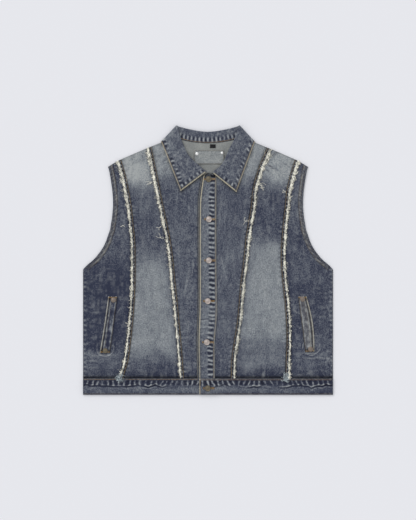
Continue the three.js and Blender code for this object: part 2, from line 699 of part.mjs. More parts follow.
function underPlacket() {
  const rowYs = [BAND_TOP_Y + SEAM_GAP / 2, ...PLACKET.slice(2, -1).map((row) => row.y), PLACKET_TOP_Y];
  return sheet(rowYs.map((y) => [
    upright(placketLeft(y) - UNDER_STRIP, y, UNDER_PLACKET.bottom, UNDER_PLACKET.cloth),
    upright(placketRight(y) - UNDER_PLACKET.shy, y, UNDER_PLACKET.bottom, UNDER_PLACKET.cloth),
  ]));
}

// Buttonholes are cut with an eye and a slit
const wasm = await Module();
wasm.setup();

function solidOf(geometry) {
  const bare = geometry.clone();
  bare.deleteAttribute('normal');
  bare.deleteAttribute('uv');
  const welded = mergeVertices(bare, 1e-4);
  return new wasm.Manifold(new wasm.Mesh({
    numProp: 3,
    vertProperties: Float32Array.from(welded.attributes.position.array),
    triVerts: Uint32Array.from(welded.index.array),
  }));
}

function geometryOf(solid) {
  const cut = solid.getMesh();
  const geometry = new THREE.BufferGeometry();
  geometry.setAttribute('position', new THREE.BufferAttribute(Float32Array.from(cut.vertProperties), 3));
  geometry.setIndex(Array.from(cut.triVerts));
  geometry.computeVertexNormals();
  return geometry;
}

function withButtonholes(geometry, buttons) {
  const depth = 40;
  const cutters = buttons.map((button) => {
    const slit = new THREE.BoxGeometry(BUTTONHOLE.length, BUTTONHOLE.width, depth);
    const eye = new THREE.CylinderGeometry(BUTTONHOLE.eye, BUTTONHOLE.eye, depth, 10);
    eye.rotateX(Math.PI / 2);
    slit.translate(button.x, button.y, 0);
    eye.translate(button.x, button.y, 0);
    return solidOf(slit).add(solidOf(eye));
  });
  return geometryOf(cutters.reduce((cloth, cutter) => cloth.subtract(cutter), solidOf(geometry)));
}

function buttonBody(button, index) {
  const onBand = button.y < BAND_TOP_Y;
  const seat = onBand ? BAND.frontBottom + BAND.lapCloth : UNDER_PLACKET.bottom + UNDER_PLACKET.cloth;
  const cloth = onBand ? BAND.overBottom + BAND.frontCloth + BAND_PUCKERS.height
    : PLACKET_BOTTOM + FOLDED_CLOTH + PLACKET_PUCKERS.height;
  const head = cloth + SEAM_GAP;
  const profile = [
    [0, seat + SEAM_GAP],
    [BUTTON.neck, seat + SEAM_GAP],
    [BUTTON.neck, head],
    [BUTTON.radius - 0.8, head],
    [BUTTON.radius, head + 0.8],
    [BUTTON.radius - 0.7, head + 1.9],
    [BUTTON.radius - 2.2, head + BUTTON.height - 0.3],
    [0, head + BUTTON.height],
  ].map(([r, z]) => new THREE.Vector2(r, z));
  const body = new THREE.LatheGeometry(profile, 16).rotateX(Math.PI / 2);
  body.translate(button.x, button.y, 0);
  body.name = `button_${index + 1}`;
  return body;
}

function rivetBody(rivet, radius, height, seat) {
  const profile = [
    [0, seat],
    [radius - 0.3, seat],
    [radius, seat + 0.3 * height],
    [0.72 * radius, seat + 0.85 * height],
    [0, seat + height],
  ].map(([r, z]) => new THREE.Vector2(r, z));
  const body = new THREE.LatheGeometry(profile, 14).rotateX(Math.PI / 2);
  body.translate(rivet.x, rivet.y, 0);
  return body;
}

// A welt lies on its side panel; its free edge faces the side seam
const WELT_STEPS = 12;

function weltPoint(welt, across, along) {
  const edge = (ends) => line(ends[0], ends[1])(along);
  const free = edge(welt.free);
  free.x += Math.sign(free.x) * welt.bow * Math.sin(Math.PI * along);
  return free.lerp(edge(welt.sewn), across);
}

function weltBody(welt) {
  return sheet(steps(WELT_STEPS).map((along, k) => [0, 0.5, 1].map((across) => {
    const point = weltPoint(welt, across, along);
    const rumple = k % 2 === 1 && across === 0.5 ? WELT_RUMPLE : 0;
    const place = upright(point.x, point.y, frontTop(point.x, point.y) + LAY_GAP, WELT_CLOTH);
    place.over.z += rumple;
    return place;
  })));
}

function pocketBag(sign) {
  const rows = [0, 0.12, 0.88, 1].map((v) => {
    const tuck = v === 0 || v === 1 ? 14 : 0;
    const y = lerp(POCKET_BAG.bottom, POCKET_BAG.top, v);
    return [POCKET_BAG.inner + tuck, POCKET_BAG.outer - tuck].map((x) => (
      upright(sign * x, y, CLOTH + SEAM_GAP, POCKET_BAG.cloth)));
  });
  return sheet(rows);
}

function patchOnBack(patch) {
  return sheet(steps(6).map((v) => steps(6).map((u) => {
    const x = lerp(patch.left, patch.right, u);
    const y = lerp(patch.bottom, patch.top, v);
    return upright(x, y, backLift(x, y) + CLOTH + LAY_GAP, patch.cloth);
  })));
}

// Collar: one folded cloth from the neck seam up the stand, over the roll line and down to its edge.
// Each station holds the places of the seam, the roll line and the edge in plan.
function frontStations(rows, point) {
  const columns = ['rollX', 'rollY', 'seamX', 'seamY'].map((key) => through(rows, 'share', key));
  const sign = Math.sign(point.x);
  return steps(COLLAR.frontSteps).map((share, k) => {
    const [rollX, rollY, seamX0, seamY0] = columns.map((at) => at(share));
    return {
      turn: 90,
      front: share,
      ripple: k % 2 === 1 ? COLLAR.pucker : 0,
      seam: new THREE.Vector2(seamX0, seamY0),
      roll: new THREE.Vector2(rollX, rollY),
      edge: line(point, { x: sign * COLLAR.cornerX, y: COLLAR.cornerY })(share),
    };
  });
}

function backStations() {
  return steps(COLLAR.backSteps).map((t, k) => {
    const side = 2 * t - 1;
    const seamAt = side * COLLAR.seamX;
    const edgeAt = side * COLLAR.cornerX;
    const seamY = lerp(backNeckY(seamAt) + 2 * SEAM_GAP, COLLAR.seamSideY, Math.abs(side) ** 8);
    const rollY = COLLAR.rollBackY + COLLAR.rollRise * Math.abs(side) ** 1.6;
    return {
      turn: -90,
      back: true,
      ripple: k % 2 === 1 ? COLLAR.pucker : 0,
      seam: new THREE.Vector2(seamAt, seamY),
      roll: new THREE.Vector2(side * COLLAR.rollX, rollY),
      edge: new THREE.Vector2(edgeAt, fallEdgeY(edgeAt)),
    };
  });
}

function cornerStations(station, direction) {
  return steps(COLLAR.cornerSteps).slice(1, -1).map((share) => ({
    ...station,
    ripple: 0,
    turn: 90 * direction * (1 - 2 * share),
  }));
}

// Heights of the collar's middle line over the floor at the seam, stand, roll, fall and edge
function heightsInFront(station, places) {
  const seam = frontLift(places[0].x, places[0].y) + CLOTH / 2;
  const begun = smoothstep(station.front ?? 1, 0, 0.35);
  const stand = lerp(COLLAR.standFrontEnd, COLLAR.standFront, begun);
  const leaf = stand + COLLAR.foldHeight;
  const rest = (place) => frontTop(place.x, place.y) + LAY_GAP + COLLAR_CLOTH / 2;
  const falling = FALLEN_IN_FRONT.map((share, k) => lerp(leaf, rest(places[k + 5]), share));
  return [seam, lerp(seam, stand, 0.55), stand, (stand + leaf) / 2, leaf, ...falling];
}

function heightsBehind(places) {
  const seam = backLift(places[0].x, BACK_NECK_Y) + CLOTH / 2;
  const fall = COLLAR.standBack - COLLAR.foldHeight;
  const stand = COLLAR.standBack;
  const falling = FALLEN_BEHIND.map((share) => lerp(fall, COLLAR.fallRest, share));
  return [seam, (seam + stand) / 2, stand, (stand + fall) / 2, fall, ...falling];
}

// Middle line of the collar's cloth at a station, as points from the neck seam to the outer edge
function collarLine(station) {
  const { seam, roll, edge } = station;
  const inwardFold = seam.clone().sub(roll).normalize().add(edge.clone().sub(roll).normalize());
  const apex = roll.clone().addScaledVector(inwardFold.normalize(), -COLLAR.foldHeight / 2);
  const places = [seam, seam.clone().lerp(roll, 0.5), roll, apex, roll];
  [0.35, 0.86, 1].forEach((share) => places.push(roll.clone().lerp(edge, share)));
  const front = heightsInFront(station, places);
  const behind = heightsBehind(places);
  const turn = degToRad(station.turn);
  const outOf = (from, to) => {
    const along = to.clone().sub(from).normalize();
    return new THREE.Vector2(Math.sign(from.x) * Math.abs(along.y), Math.abs(along.x));
  };
  const standOut = outOf(seam, roll);
  const leafOut = outOf(roll, edge);
  return places.map((place, k) => {
    const middle = (front[k] + behind[k]) / 2;
    const reach = (front[k] - behind[k]) / 2;
    const out = k < 3 ? standOut : leafOut;
    const aside = Math.abs(station.turn) === 90 ? 0 : reach * Math.cos(turn);
    const z = middle + reach * Math.sin(turn);
    return new THREE.Vector3(place.x + out.x * aside, place.y + out.y * aside, z);
  });
}

function collarBody() {
  const left = frontStations(COLLAR_LEFT, COLLAR.pointLeft);
  const right = frontStations(COLLAR_RIGHT, COLLAR.pointRight).reverse();
  const stations = [
    ...left,
    ...cornerStations(left[left.length - 1], 1),
    ...backStations(),
    ...cornerStations(right[0], -1),
    ...right,
  ];
  const middle = stations.map(collarLine);
  const at = (i, j) => middle[Math.min(Math.max(i, 0), middle.length - 1)][Math.min(Math.max(j, 0), 7)];
  const leafRow = 6;
  const standRow = 1;
  return sheet(middle.map((points, i) => points.map((point, j) => {
    const along = at(i + 1, j).clone().sub(at(i - 1, j));
    const across = at(i, j + 1).clone().sub(at(i, j - 1));
    const normal = across.cross(along).normalize().multiplyScalar(COLLAR_CLOTH / 2);
    const over = point.clone().sub(normal);
    const under = point.clone().add(normal);
    const { ripple, back } = stations[i];
    if (j === leafRow && !back) {
      over.z += ripple;
    }
    if (j === standRow && back) {
      under.z += ripple;
    }
    return { over, under };
  })));
}

// The vest
const vest = new THREE.Group();

function addPiece(name, geometry, finish) {
  const piece = new THREE.Mesh(geometry, new THREE.MeshStandardMaterial(finish));
  piece.name = name;
  vest.add(piece);
}

const [outerLeft, innerLeft, innerRight, outerRight] = SEAMS;
const underEdge = (y) => placketLeft(y) - UNDER_STRIP - 2 * SEAM_GAP;
const topEdge = (y) => placketRight(y) + 2 * SEAM_GAP;

addPiece('back_panel', backPanel(), DENIM_INSIDE);
addPiece('front_side_left', sidePanel(outerLeft, -1), DENIM);
addPiece('front_side_right', sidePanel(outerRight, 1), DENIM);
addPiece('front_middle_left', middlePanel(outerLeft, innerLeft, -1), DENIM_LIGHT);
addPiece('front_middle_right', middlePanel(outerRight, innerRight, 1), DENIM_LIGHT);
addPiece('front_center_left', centerPanel(innerLeft, -1, underEdge, COLLAR_LEFT), DENIM);
addPiece('front_center_right', centerPanel(innerRight, 1, topEdge, COLLAR_RIGHT), DENIM);

SEAMS.forEach((seam, k) => {
  addPiece(`seam_flap_${seam.name}`, seamFlap(seam), DENIM_DARK);
  addPiece(`fray_${seam.name}`, fray(seam, 100 * k), FRAY_COTTON);
});

addPiece('placket_under', underPlacket(), DENIM_DARK);
addPiece('placket_top', withButtonholes(topPlacket(), BUTTONS.slice(0, -1)), DENIM);
addPiece('waistband_back', backBand(), DENIM_DARK);
addPiece('waistband_left', frontBand(-1), DENIM_DARK);
addPiece('waistband_right', withButtonholes(frontBand(1), BUTTONS.slice(-1)), DENIM_DARK);
addPiece('collar', collarBody(), DENIM);

BUTTONS.map(buttonBody).forEach((body) => addPiece(body.name, body, AGED_METAL));

WELTS.forEach((welt) => {
  const sign = welt.side === 'left' ? -1 : 1;
  addPiece(`pocket_bag_${welt.side}`, pocketBag(sign), DENIM_INSIDE);
  addPiece(`pocket_welt_${welt.side}`, weltBody(welt), DENIM_DARK);
  welt.rivets.forEach((rivet) => {
    const seat = frontTop(rivet.x, rivet.y) + LAY_GAP + WELT_CLOTH + WELT_RUMPLE + SEAM_GAP;
    const body = rivetBody(rivet, POCKET_RIVET.radius, POCKET_RIVET.height, seat);
    addPiece(`pocket_rivet_${rivet.at}_${welt.side}`, body, AGED_METAL);
  });
});

addPiece('neck_label', patchOnBack(LABEL), DENIM_INSIDE);
addPiece('size_tab', patchOnBack(SIZE_TAB), BLACK_TAPE);
LABEL_RIVETS.forEach((rivet) => {
  const seat = backLift(rivet.x, rivet.y) + CLOTH + 2 * LAY_GAP + LABEL.cloth;
  const body = rivetBody(rivet, rivet.radius, LABEL_RIVET_HEIGHT, seat);
  addPiece(`label_rivet_${rivet.side}`, body, SILVER_METAL);
});

// The origin is under the middle of the vest's box, on the floor
const box = new THREE.Box3().setFromObject(vest);
const middleOfBox = box.getCenter(new THREE.Vector3());
vest.children.forEach((piece) => piece.position.set(-middleOfBox.x, -middleOfBox.y, -box.min.z));

export default vest;
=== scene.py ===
"""A sleeveless denim vest laid flat: its cloth, stitching, frayed seams, metal and finishes."""
import math

import bpy
import numpy as np
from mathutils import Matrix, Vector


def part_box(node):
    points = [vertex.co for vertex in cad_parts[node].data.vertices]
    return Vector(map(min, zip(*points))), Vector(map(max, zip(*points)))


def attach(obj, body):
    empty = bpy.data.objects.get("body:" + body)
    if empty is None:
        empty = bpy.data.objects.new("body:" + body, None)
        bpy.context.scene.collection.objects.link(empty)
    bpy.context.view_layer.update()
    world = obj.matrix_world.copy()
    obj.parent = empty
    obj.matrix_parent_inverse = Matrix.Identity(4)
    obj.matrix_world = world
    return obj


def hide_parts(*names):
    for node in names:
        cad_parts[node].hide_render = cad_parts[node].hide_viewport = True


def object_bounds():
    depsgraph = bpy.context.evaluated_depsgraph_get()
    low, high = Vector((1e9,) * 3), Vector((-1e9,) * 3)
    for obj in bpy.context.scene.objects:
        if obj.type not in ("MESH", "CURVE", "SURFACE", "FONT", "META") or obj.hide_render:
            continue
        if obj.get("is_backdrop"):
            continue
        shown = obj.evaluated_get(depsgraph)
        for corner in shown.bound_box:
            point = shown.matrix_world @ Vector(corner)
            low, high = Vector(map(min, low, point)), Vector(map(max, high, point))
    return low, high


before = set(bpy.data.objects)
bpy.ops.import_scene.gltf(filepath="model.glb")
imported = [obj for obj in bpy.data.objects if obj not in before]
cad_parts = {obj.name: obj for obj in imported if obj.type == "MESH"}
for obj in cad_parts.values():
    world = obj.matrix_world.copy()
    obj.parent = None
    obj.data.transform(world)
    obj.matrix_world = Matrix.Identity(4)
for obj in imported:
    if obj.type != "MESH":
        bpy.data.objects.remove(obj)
cad_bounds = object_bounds()

# Sizes below are in millimetres, on the pattern's own lines; MM and SHIFT_Y place them in the frame
MM = 0.001
HEM_Y = -334.2
SHIFT_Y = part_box("waistband_back")[0][1] / MM - HEM_Y

# Cloth, and the clearances between pieces
CLOTH = 1.2
FOLDED_CLOTH = 2.0
COLLAR_CLOTH = 1.3
SEAM_GAP = 0.3
LAY_GAP = 0.45
GRID = 2.8
LEAST_FLAT = 0.0101
PANEL_LENGTH = 560
BACK_COARSER = 2.1

# Body
BODY_HALF = 310.0
BAND_TOP_Y = -294.0
PANEL_LOW_Y = BAND_TOP_Y + SEAM_GAP / 2
UNDERARM_Y = -23.4
BACK_NECK_Y = 289.5
NECK_SEAM_TURN = 2.8
BODY_RISE = 1.6
SIDE_RAMP = 40.0
SHOULDER_RAMP = 70.0
PLACKET_DROP = {"x": -26, "width": 30, "depth": 0.9}
PLACKET_RISE = {"x": 21, "width": 35, "height": 0.5}
ARMHOLE_HEM = {"width": 12.0, "rise": 0.8}

ARMHOLE = {
    "y": [UNDERARM_Y, -13, 2, 17, 32, 46.5, 61, 76, 91, 106, 136, 165.5, 195, 223, 231],
    "x": [BODY_HALF, 300, 282.7, 270, 260, 253, 248, 243, 240.6, 238, 235.6, 236.8, 240.6, 245.5, 248],
}
SHOULDER = {
    "x": [40, 84, 116.6, 149, 186, 224, 248],
    "y": [319, 303.5, 290.9, 278, 262.5, 245.5, 231],
}
NECK_SIDE = {"x": 84.0, "y": 303.5}
SHOULDER_TIP = {"x": 248.0, "y": 231.0}

# Middle of the frayed edge of each seam down the fronts, and which way each seam's inward side is
FRAYS = {
    "y": [-310, -293, -250, -200, -150, -100, -50, 0, 50, 90, 130, 170, 210, 246, 280],
    "outer_left": [-222, -219.5, -207.4, -200.2, -194.9, -191.1, -189, -188.9, -189.9, -194.2, -198.3,
                   -205, -213.3, -224, -236],
    "inner_left": [-68.6, -69, -71.6, -75.8, -80.4, -85.2, -90.6, -95.2, -102.3, -110.3, -119, -127.2,
                   -135, -142.6, -150],
    "inner_right": [65, 66, 66.8, 73.8, 81.3, 86.1, 90.6, 97, 102, 108.2, 115.2, 119.1, 128.7, 141.8, 157],
    "outer_right": [202, 202, 202.2, 204.3, 203, 199, 193.5, 189.8, 191.7, 194.9, 199.5, 203.5, 212.5,
                    224, 238],
}
SEAMS = {"outer_left": 1, "inner_left": 1, "inner_right": -1, "outer_right": -1}
FLAP = {"width": 9.0, "cloth": 1.5, "fray_gap": 1.3, "cord": 2.6, "lean": 0.5}
FRAY_LENGTH = 560
FRAY_TWIST = 13
FRAY_PLIES = ("cord", "second_cord", "third_cord")
FRAY_MIDDLE = FLAP["width"] - 0.6

PLACKET = {
    "y": [-334.2, -293, -250, -205, -174, -137, -100, 0, 111, 148, 173, 193, 210, 216],
    "left": [-21.6, -21.6, -22.6, -23.3, -22.6, -21, -20.4, -20.3, -20.2, -19.3, -16.5, -13.6, -10.4, -3],
    "right": [16.8, 16.8, 16.8, 17, 19.5, 22.2, 22.2, 20.9, 20.8, 20.8, 20.8, 20.8, 20.8, 11],
}
PLACKET_TOP_Y = 211.0
UNDER_STRIP = 4.0
UNDER_PLACKET = {"bottom": 1.6, "cloth": 1.8, "shy": 6.0}
PLACKET_BOTTOM = UNDER_PLACKET["bottom"] + UNDER_PLACKET["cloth"] + SEAM_GAP + 0.05
PLACKET_PUCKERS = {"pitch": 11.3, "height": 0.6, "from": 0.5, "to": 0.9}

# Creases across the button band: level, and how light (above 0) or dark each is
PLACKET_CREASES = [(-146, -0.9), (-149, 0.6), (-165, 0.5), (-169, -0.6), (-181, 0.5), (-120, 0.3),
                   (-262, 0.4), (-265, -0.5), (-36, 0.25), (64, 0.2), (150, 0.25)]

BAND = {"back_cloth": 2.0, "front_cloth": 2.2, "front_bottom": 2.35, "lap_cloth": 1.8,
        "over_bottom": 4.5, "lap_from": -26.0, "lap_to": 11.0, "settle": 26.0}
BAND_PUCKERS = {"pitch": 13.0, "height": 0.75}

BUTTONS = {
    "x": [1.2, 2.2, 2.0, -0.5, -3.0, -0.7],
    "y": [200.5, 101.0, -1.0, -102.0, -204.0, -318.0],
}
BUTTON = {"radius": 7.5, "height": 2.6, "neck": 2.0}
BUTTONHOLE = {"half": 13.4, "shift": 2.6}

WELTS = {
    "left": {"free": ((-247.5, -90), (-269, -231)), "sewn": ((-224.4, -90), (-243, -231)), "bow": -1.0},
    "right": {"free": ((244.3, -90), (263.9, -227)), "sewn": ((223.4, -90), (241.3, -229)), "bow": 6.0},
}
WELT_CLOTH = 1.6
WELT_LENGTH = 142
# Creases round the pockets' lower ends: their middle and how far out they run
POCKET_ARCS = [(-255, -218, 21), (256, -214, 22)]
POCKET_BAG = {"inner": 128.0, "outer": 252.0, "top": -84.0, "bottom": -262.0, "cloth": 1.1}

LABEL = {"left": -36.0, "right": 41.0, "bottom": 237.0, "top": 273.0, "cloth": 0.6}
SIZE_TAB = {"left": 5.0, "right": 19.0, "bottom": 277.6, "top": 287.0, "cloth": 0.6}

COLLAR_LEFT = {
    "share": [0, 0.1, 0.22, 0.36, 0.52, 0.66, 0.82, 0.94, 1],
    "roll_x": [-4.5, -14.6, -24, -37, -51, -59, -67, -73, -76.1],
    "roll_y": [218.5, 225, 234, 245, 261, 277, 297, 317, 330],
    "seam_x": [-6.5, -17, -30, -47, -66, -77, -84, -86, -83.7],
    "seam_y": [215.2, 220, 227, 235, 250, 265, 281, 295, 305.6],
}
COLLAR_RIGHT = {
    "share": [0, 0.1, 0.22, 0.36, 0.52, 0.66, 0.82, 0.94, 1],
    "roll_x": [12.4, 19.8, 28.5, 38, 46.5, 55, 66, 73, 76.1],
    "roll_y": [215.5, 222.5, 228.5, 239.5, 257, 276, 297, 317, 330],
    "seam_x": [13.5, 22, 33, 47, 62, 75, 83.5, 86, 83.7],
    "seam_y": [212.7, 217.5, 221, 231, 247, 264, 281, 295, 305.6],
}
COLLAR = {
    "point_left": (-67.7, 171.0), "point_right": (70.4, 168.5), "corner": (115.2, 290.9),
    "roll_x": 76.1, "roll_back_y": 315.9, "roll_rise": 14.1, "seam_x": 83.7, "seam_side_y": 305.6,
    "fall_back_y": 268.5, "stand_front": 6.6, "stand_front_end": 5.2, "stand_back": 5.1,
    "fold_height": 3.0, "fall_rest": 0.7, "front_steps": 66, "corner_steps": 18, "back_steps": 84,
    "pucker": 0.42, "pucker_pitch": 11.4, "pucker_in": 9.0,
}
FALL_RISE = 1.9
BACK_RAMP = {"start": 16, "end": 2}
FRONT_RAMP = {"start": 60, "end": 16}


def rows(names, *values):
    """A table's rows as dicts, from its column names and each row's values."""
    return [dict(zip(names.split(), row)) for row in values]


# Soft folds of the fronts: place, direction in degrees from +X, half sizes, height and added fading
FOLDS = rows(
    "x y turn length width height fade",
    (-186, 214, 100, 26, 22, 0.2, 0.12), (-160, 257, 20, 30, 14, -0.2, -0.16),
    (176, 214, 70, 26, 20, 0.2, 0.1), (156, 257, 150, 26, 12, -0.2, -0.14), (-108, 246, 60, 32, 15, 0.7, 0.0),
    (160, 226, 125, 38, 16, 0.8, 0.0), (-178, 196, 70, 40, 18, 0.5, 0.0), (176, 186, 104, 40, 18, 0.5, 0.0),
    (-78, 122, 74, 70, 17, 0.6, 0.0), (76, 92, 99, 70, 17, 0.6, 0.0), (-258, -52, 38, 46, 18, 0.9, 0.0),
    (258, -58, 140, 46, 18, 0.9, 0.0), (-57, -66, 86, 62, 15, 0.9, 0.05), (44, -8, 96, 56, 14, 0.8, 0.04),
    (-140, -116, 84, 86, 24, 0.8, 0.0), (140, -92, 95, 90, 24, 0.8, 0.0), (-284, -176, 82, 58, 15, 0.7, 0.0),
    (284, -160, 99, 58, 15, 0.7, 0.0), (-148, -262, 2, 88, 15, 0.8, 0.03),
    (142, -258, 177, 84, 15, 0.8, 0.03), (-268, -262, 8, 40, 14, 0.6, 0.0),
    (262, -258, 172, 42, 14, 0.6, 0.0),
)

# Small creases that only the scene has
CREASES = rows(
    "x y turn length width height fade",
    (-104, 254, 52, 16, 2.6, 0.5, -0.25), (-112, 240, 38, 15, 2.4, 0.4, -0.2),
    (-98, 236, 62, 13, 2.4, 0.4, -0.15), (160, 238, 128, 18, 2.8, 0.5, -0.3),
    (172, 224, 142, 16, 2.6, 0.5, -0.25), (150, 222, 118, 14, 2.6, 0.4, -0.2),
    (-57, -63, 80, 34, 3.4, 0.5, 0.12), (-42, -78, 70, 22, 3.0, 0.4, 0.08), (36, -6, 101, 32, 3.0, 0.5, 0.12),
    (50, 24, 84, 24, 3.0, 0.3, 0.06), (-222, 26, 28, 30, 4.0, 0.5, 0.08), (226, 20, 150, 30, 4.0, 0.5, 0.08),
    (-270, -36, 30, 26, 4.0, 0.5, 0.1), (272, -40, 152, 26, 4.0, 0.5, 0.1),
    (-283, -238, -20, 22, 3.2, 0.5, 0.14), (280, -236, 24, 24, 3.2, 0.5, 0.14),
    (-296, -262, 4, 20, 3.6, 0.5, 0.1), (150, -276, 2, 60, 3.6, 0.4, 0.08),
    (-150, -274, -2, 52, 3.6, 0.4, 0.08), (-60, 190, 68, 22, 3.0, 0.3, 0.05),
    (214, -40, 96, 40, 4.0, 0.4, 0.06), (-214, -130, 88, 44, 4.0, 0.4, 0.06),
)

# Fine creases that show as light (above 0) or dark lines on the fronts
LINES = rows(
    "x y turn length width mark",
    (-106, 256, 38, 12, 1.5, 0.6), (-103, 250, 48, 14, 1.5, -0.7), (-107, 243, 30, 13, 1.5, 0.6),
    (-100, 238, 50, 13, 1.5, -0.6), (-110, 232, 24, 12, 1.5, 0.5), (-104, 225, 40, 12, 1.6, -0.5),
    (-118, 262, 62, 12, 1.6, -0.6), (-168, 246, 24, 18, 2.0, -0.3), (-190, 206, 80, 24, 2.4, -0.25),
    (153, 233, 148, 8, 1.5, -0.9), (161, 228, 140, 8, 1.5, -0.7), (146, 223, 145, 8, 1.5, -0.6),
    (158, 236, 150, 8, 1.5, 0.4), (167, 264, 35, 13, 4.5, -0.5), (208, 246, 75, 16, 5.0, -0.4),
    (270, -243, 2, 26, 1.5, 0.45), (268, -248, 1, 26, 1.7, -0.4), (240, -118, -58, 9, 1.6, -0.8),
    (236, -130, -40, 9, 1.6, -0.7), (234, -144, 30, 10, 1.6, -0.7), (238, -200, 20, 8, 1.6, -0.6),
    (190, 238, 150, 13, 1.6, -0.45), (136, 262, 104, 12, 1.6, 0.4), (128, 238, 96, 16, 1.7, -0.4),
    (-54, -64, 78, 24, 1.9, 0.5), (-60, -66, 80, 26, 2.1, -0.4), (-42, -84, 66, 16, 1.8, 0.35),
    (-38, -24, 84, 22, 2.0, 0.3), (36, -4, 102, 24, 1.9, 0.5), (41, -8, 102, 24, 2.1, -0.4),
    (30, 110, 88, 26, 2.0, 0.3), (48, 62, 96, 26, 2.0, -0.3), (-48, 120, 88, 30, 2.0, 0.25),
    (-66, 40, 98, 26, 2.0, -0.25), (60, -160, 92, 34, 2.2, -0.25), (-50, -180, 88, 34, 2.2, 0.25),
    (134, -270, 88, 14, 1.5, -0.7), (140, -276, 94, 12, 1.4, 0.4), (146, -272, 86, 13, 1.5, -0.6),
    (120, -280, 90, 9, 1.4, -0.5), (160, -281, 92, 8, 1.4, -0.5), (-290, -250, 0, 22, 1.5, 0.25),
    (-284, -256, -4, 24, 1.8, -0.35), (288, -246, 4, 22, 1.6, 0.4), (284, -268, -3, 22, 1.8, -0.35),
    (-280, -130, 4, 14, 1.4, 0.22), (-280, -160, -6, 18, 1.8, -0.35), (-284, -192, 3, 20, 1.6, 0.3),
    (282, -140, -3, 18, 1.6, 0.35), (286, -178, 5, 18, 1.8, -0.35), (225, -132, -30, 12, 1.6, 0.5),
    (220, -150, -24, 12, 1.6, -0.45), (228, -168, -34, 12, 1.6, 0.45), (-222, -126, 60, 8, 1.5, 0.4),
    (-214, -150, 74, 14, 1.6, -0.4), (-222, -164, 20, 7, 1.5, 0.3), (-262, 8, 30, 16, 1.8, 0.3),
    (262, 4, 150, 16, 1.8, 0.3),
)

# Where longer threads have come out of the frays: how far they reach, their direction and how many
LOOSE_THREADS = rows(
    "x y reach turn count",
    (-138, 194, 13, 200, 4), (-116, 82, 12, 170, 2), (-108, 54, 20, 165, 2), (-206, 82, 11, 150, 2),
    (126, 190, 15, -35, 4), (130, 180, 12, -20, 3), (104, 96, 18, 170, 2), (193, 168, 10, 160, 3),
    (-196, -160, 9, 160, 2), (92, -62, 9, 175, 2), (-212, 196, 9, 170, 3),
)

# How faded each front is down its length, from 0, raw dark blue, to 1, washed pale
FADE = {
    "side": {"y": [-294, -276, -240, -140, -40, 60, 140, 200, 250],
             "fade": [0.02, 0.06, 0.1, 0.03, 0.07, 0.17, 0.2, 0.18, 0.14]},
    "middle_left": {"y": [-294, -278, -258, -232, -200, -60, -16, 10, 40, 120, 162, 190, 208, 250, 290],
                    "fade": [0.02, 0.07, 0.16, 0.38, 0.56, 0.57, 0.48, 0.26, 0.17, 0.17, 0.19, 0.45, 0.8,
                             0.86, 0.8]},
    "middle_right": {"y": [-294, -278, -258, -232, -205, -180, 10, 34, 62, 84, 120, 164, 192, 212, 250, 290],
                     "fade": [0.03, 0.07, 0.24, 0.28, 0.37, 0.57, 0.57, 0.46, 0.19, 0.12, 0.12, 0.14, 0.42,
                              0.76, 0.86, 0.82]},
    "center": {"y": [-294, -276, -240, -100, 60, 170, 196, 216, 250, 300],
               "fade": [0.04, 0.13, 0.18, 0.18, 0.2, 0.19, 0.32, 0.62, 0.72, 0.72]},
}


# Numbers over a place
def through(table, start, value):
    """A smooth function through a table's columns, held at its end values."""
    xs = np.array(table[start], float)
    ys = np.array(table[value], float)
    steps = np.diff(ys) / np.diff(xs)
    slopes = np.concatenate([steps[:1], (ys[2:] - ys[:-2]) / (xs[2:] - xs[:-2]), steps[-1:]])

    def at(place):
        place = np.clip(np.asarray(place, float), xs[0], xs[-1])
        k = np.clip(np.searchsorted(xs, place) - 1, 0, len(xs) - 2)
        span = xs[k + 1] - xs[k]
        s = (place - xs[k]) / span
        first = 2 * s**3 - 3 * s**2 + 1
        bend = span * ((s**3 - 2 * s**2 + s) * slopes[k] + (s**3 - s**2) * slopes[k + 1])
        return first * ys[k] + (1 - first) * ys[k + 1] + bend

    return at


def smooth(value, low, high):
    s = np.clip((np.asarray(value, float) - low) / (high - low), 0, 1)
    return s * s * (3 - 2 * s)


def fall(value, low, high):
    return 1 - smooth(value, low, high)


def bump(distance, width):
    return np.exp(-((np.asarray(distance, float) / width) ** 2))


def noise(x, y, size, seed):
    """Soft bumps between -1 and 1, about size apart."""
    lattice = np.random.default_rng(seed).uniform(-1, 1, (128, 128))
    gx = np.asarray(x, float) / size + 400.5
    gy = np.asarray(y, float) / size + 400.5
    ix = np.floor(gx).astype(int)
    iy = np.floor(gy).astype(int)
    sx = smooth(gx - ix, 0, 1)
    sy = smooth(gy - iy, 0, 1)
    corner = lambda dx, dy: lattice[(ix + dx) % 128, (iy + dy) % 128]
    low = corner(0, 0) * (1 - sx) + corner(1, 0) * sx
    high = corner(0, 1) * (1 - sx) + corner(1, 1) * sx
    return low * (1 - sy) + high * sy


def noises(x, y, *layers):
    """A sum of noises, each given as its strength, size and seed."""
    return sum(strength * noise(x, y, size, seed) for strength, size, seed in layers)


def along_noise(length, size, seed, row=0):
    """Noise along a line; another row of the same seed gives another line."""
    return noise(length, 0 * length + row, size, seed)


def uneven_wave(length, pitch, seed, sharp=1.0):
    """Crests about a pitch apart, from -1 to 1, unevenly spaced and strong; a higher sharp narrows them."""
    length = np.asarray(length, float)
    drift = 1.9 * along_noise(length, 4 * pitch, seed) + 0.7 * along_noise(length, 1.4 * pitch, seed + 2, 3)
    strength = 0.74 + 0.3 * along_noise(length, 1.6 * pitch, seed + 1, 7)
    crest = (0.5 + 0.5 * np.cos(2 * math.pi * length / pitch + drift)) ** sharp
    return strength * (2 * crest - 1)


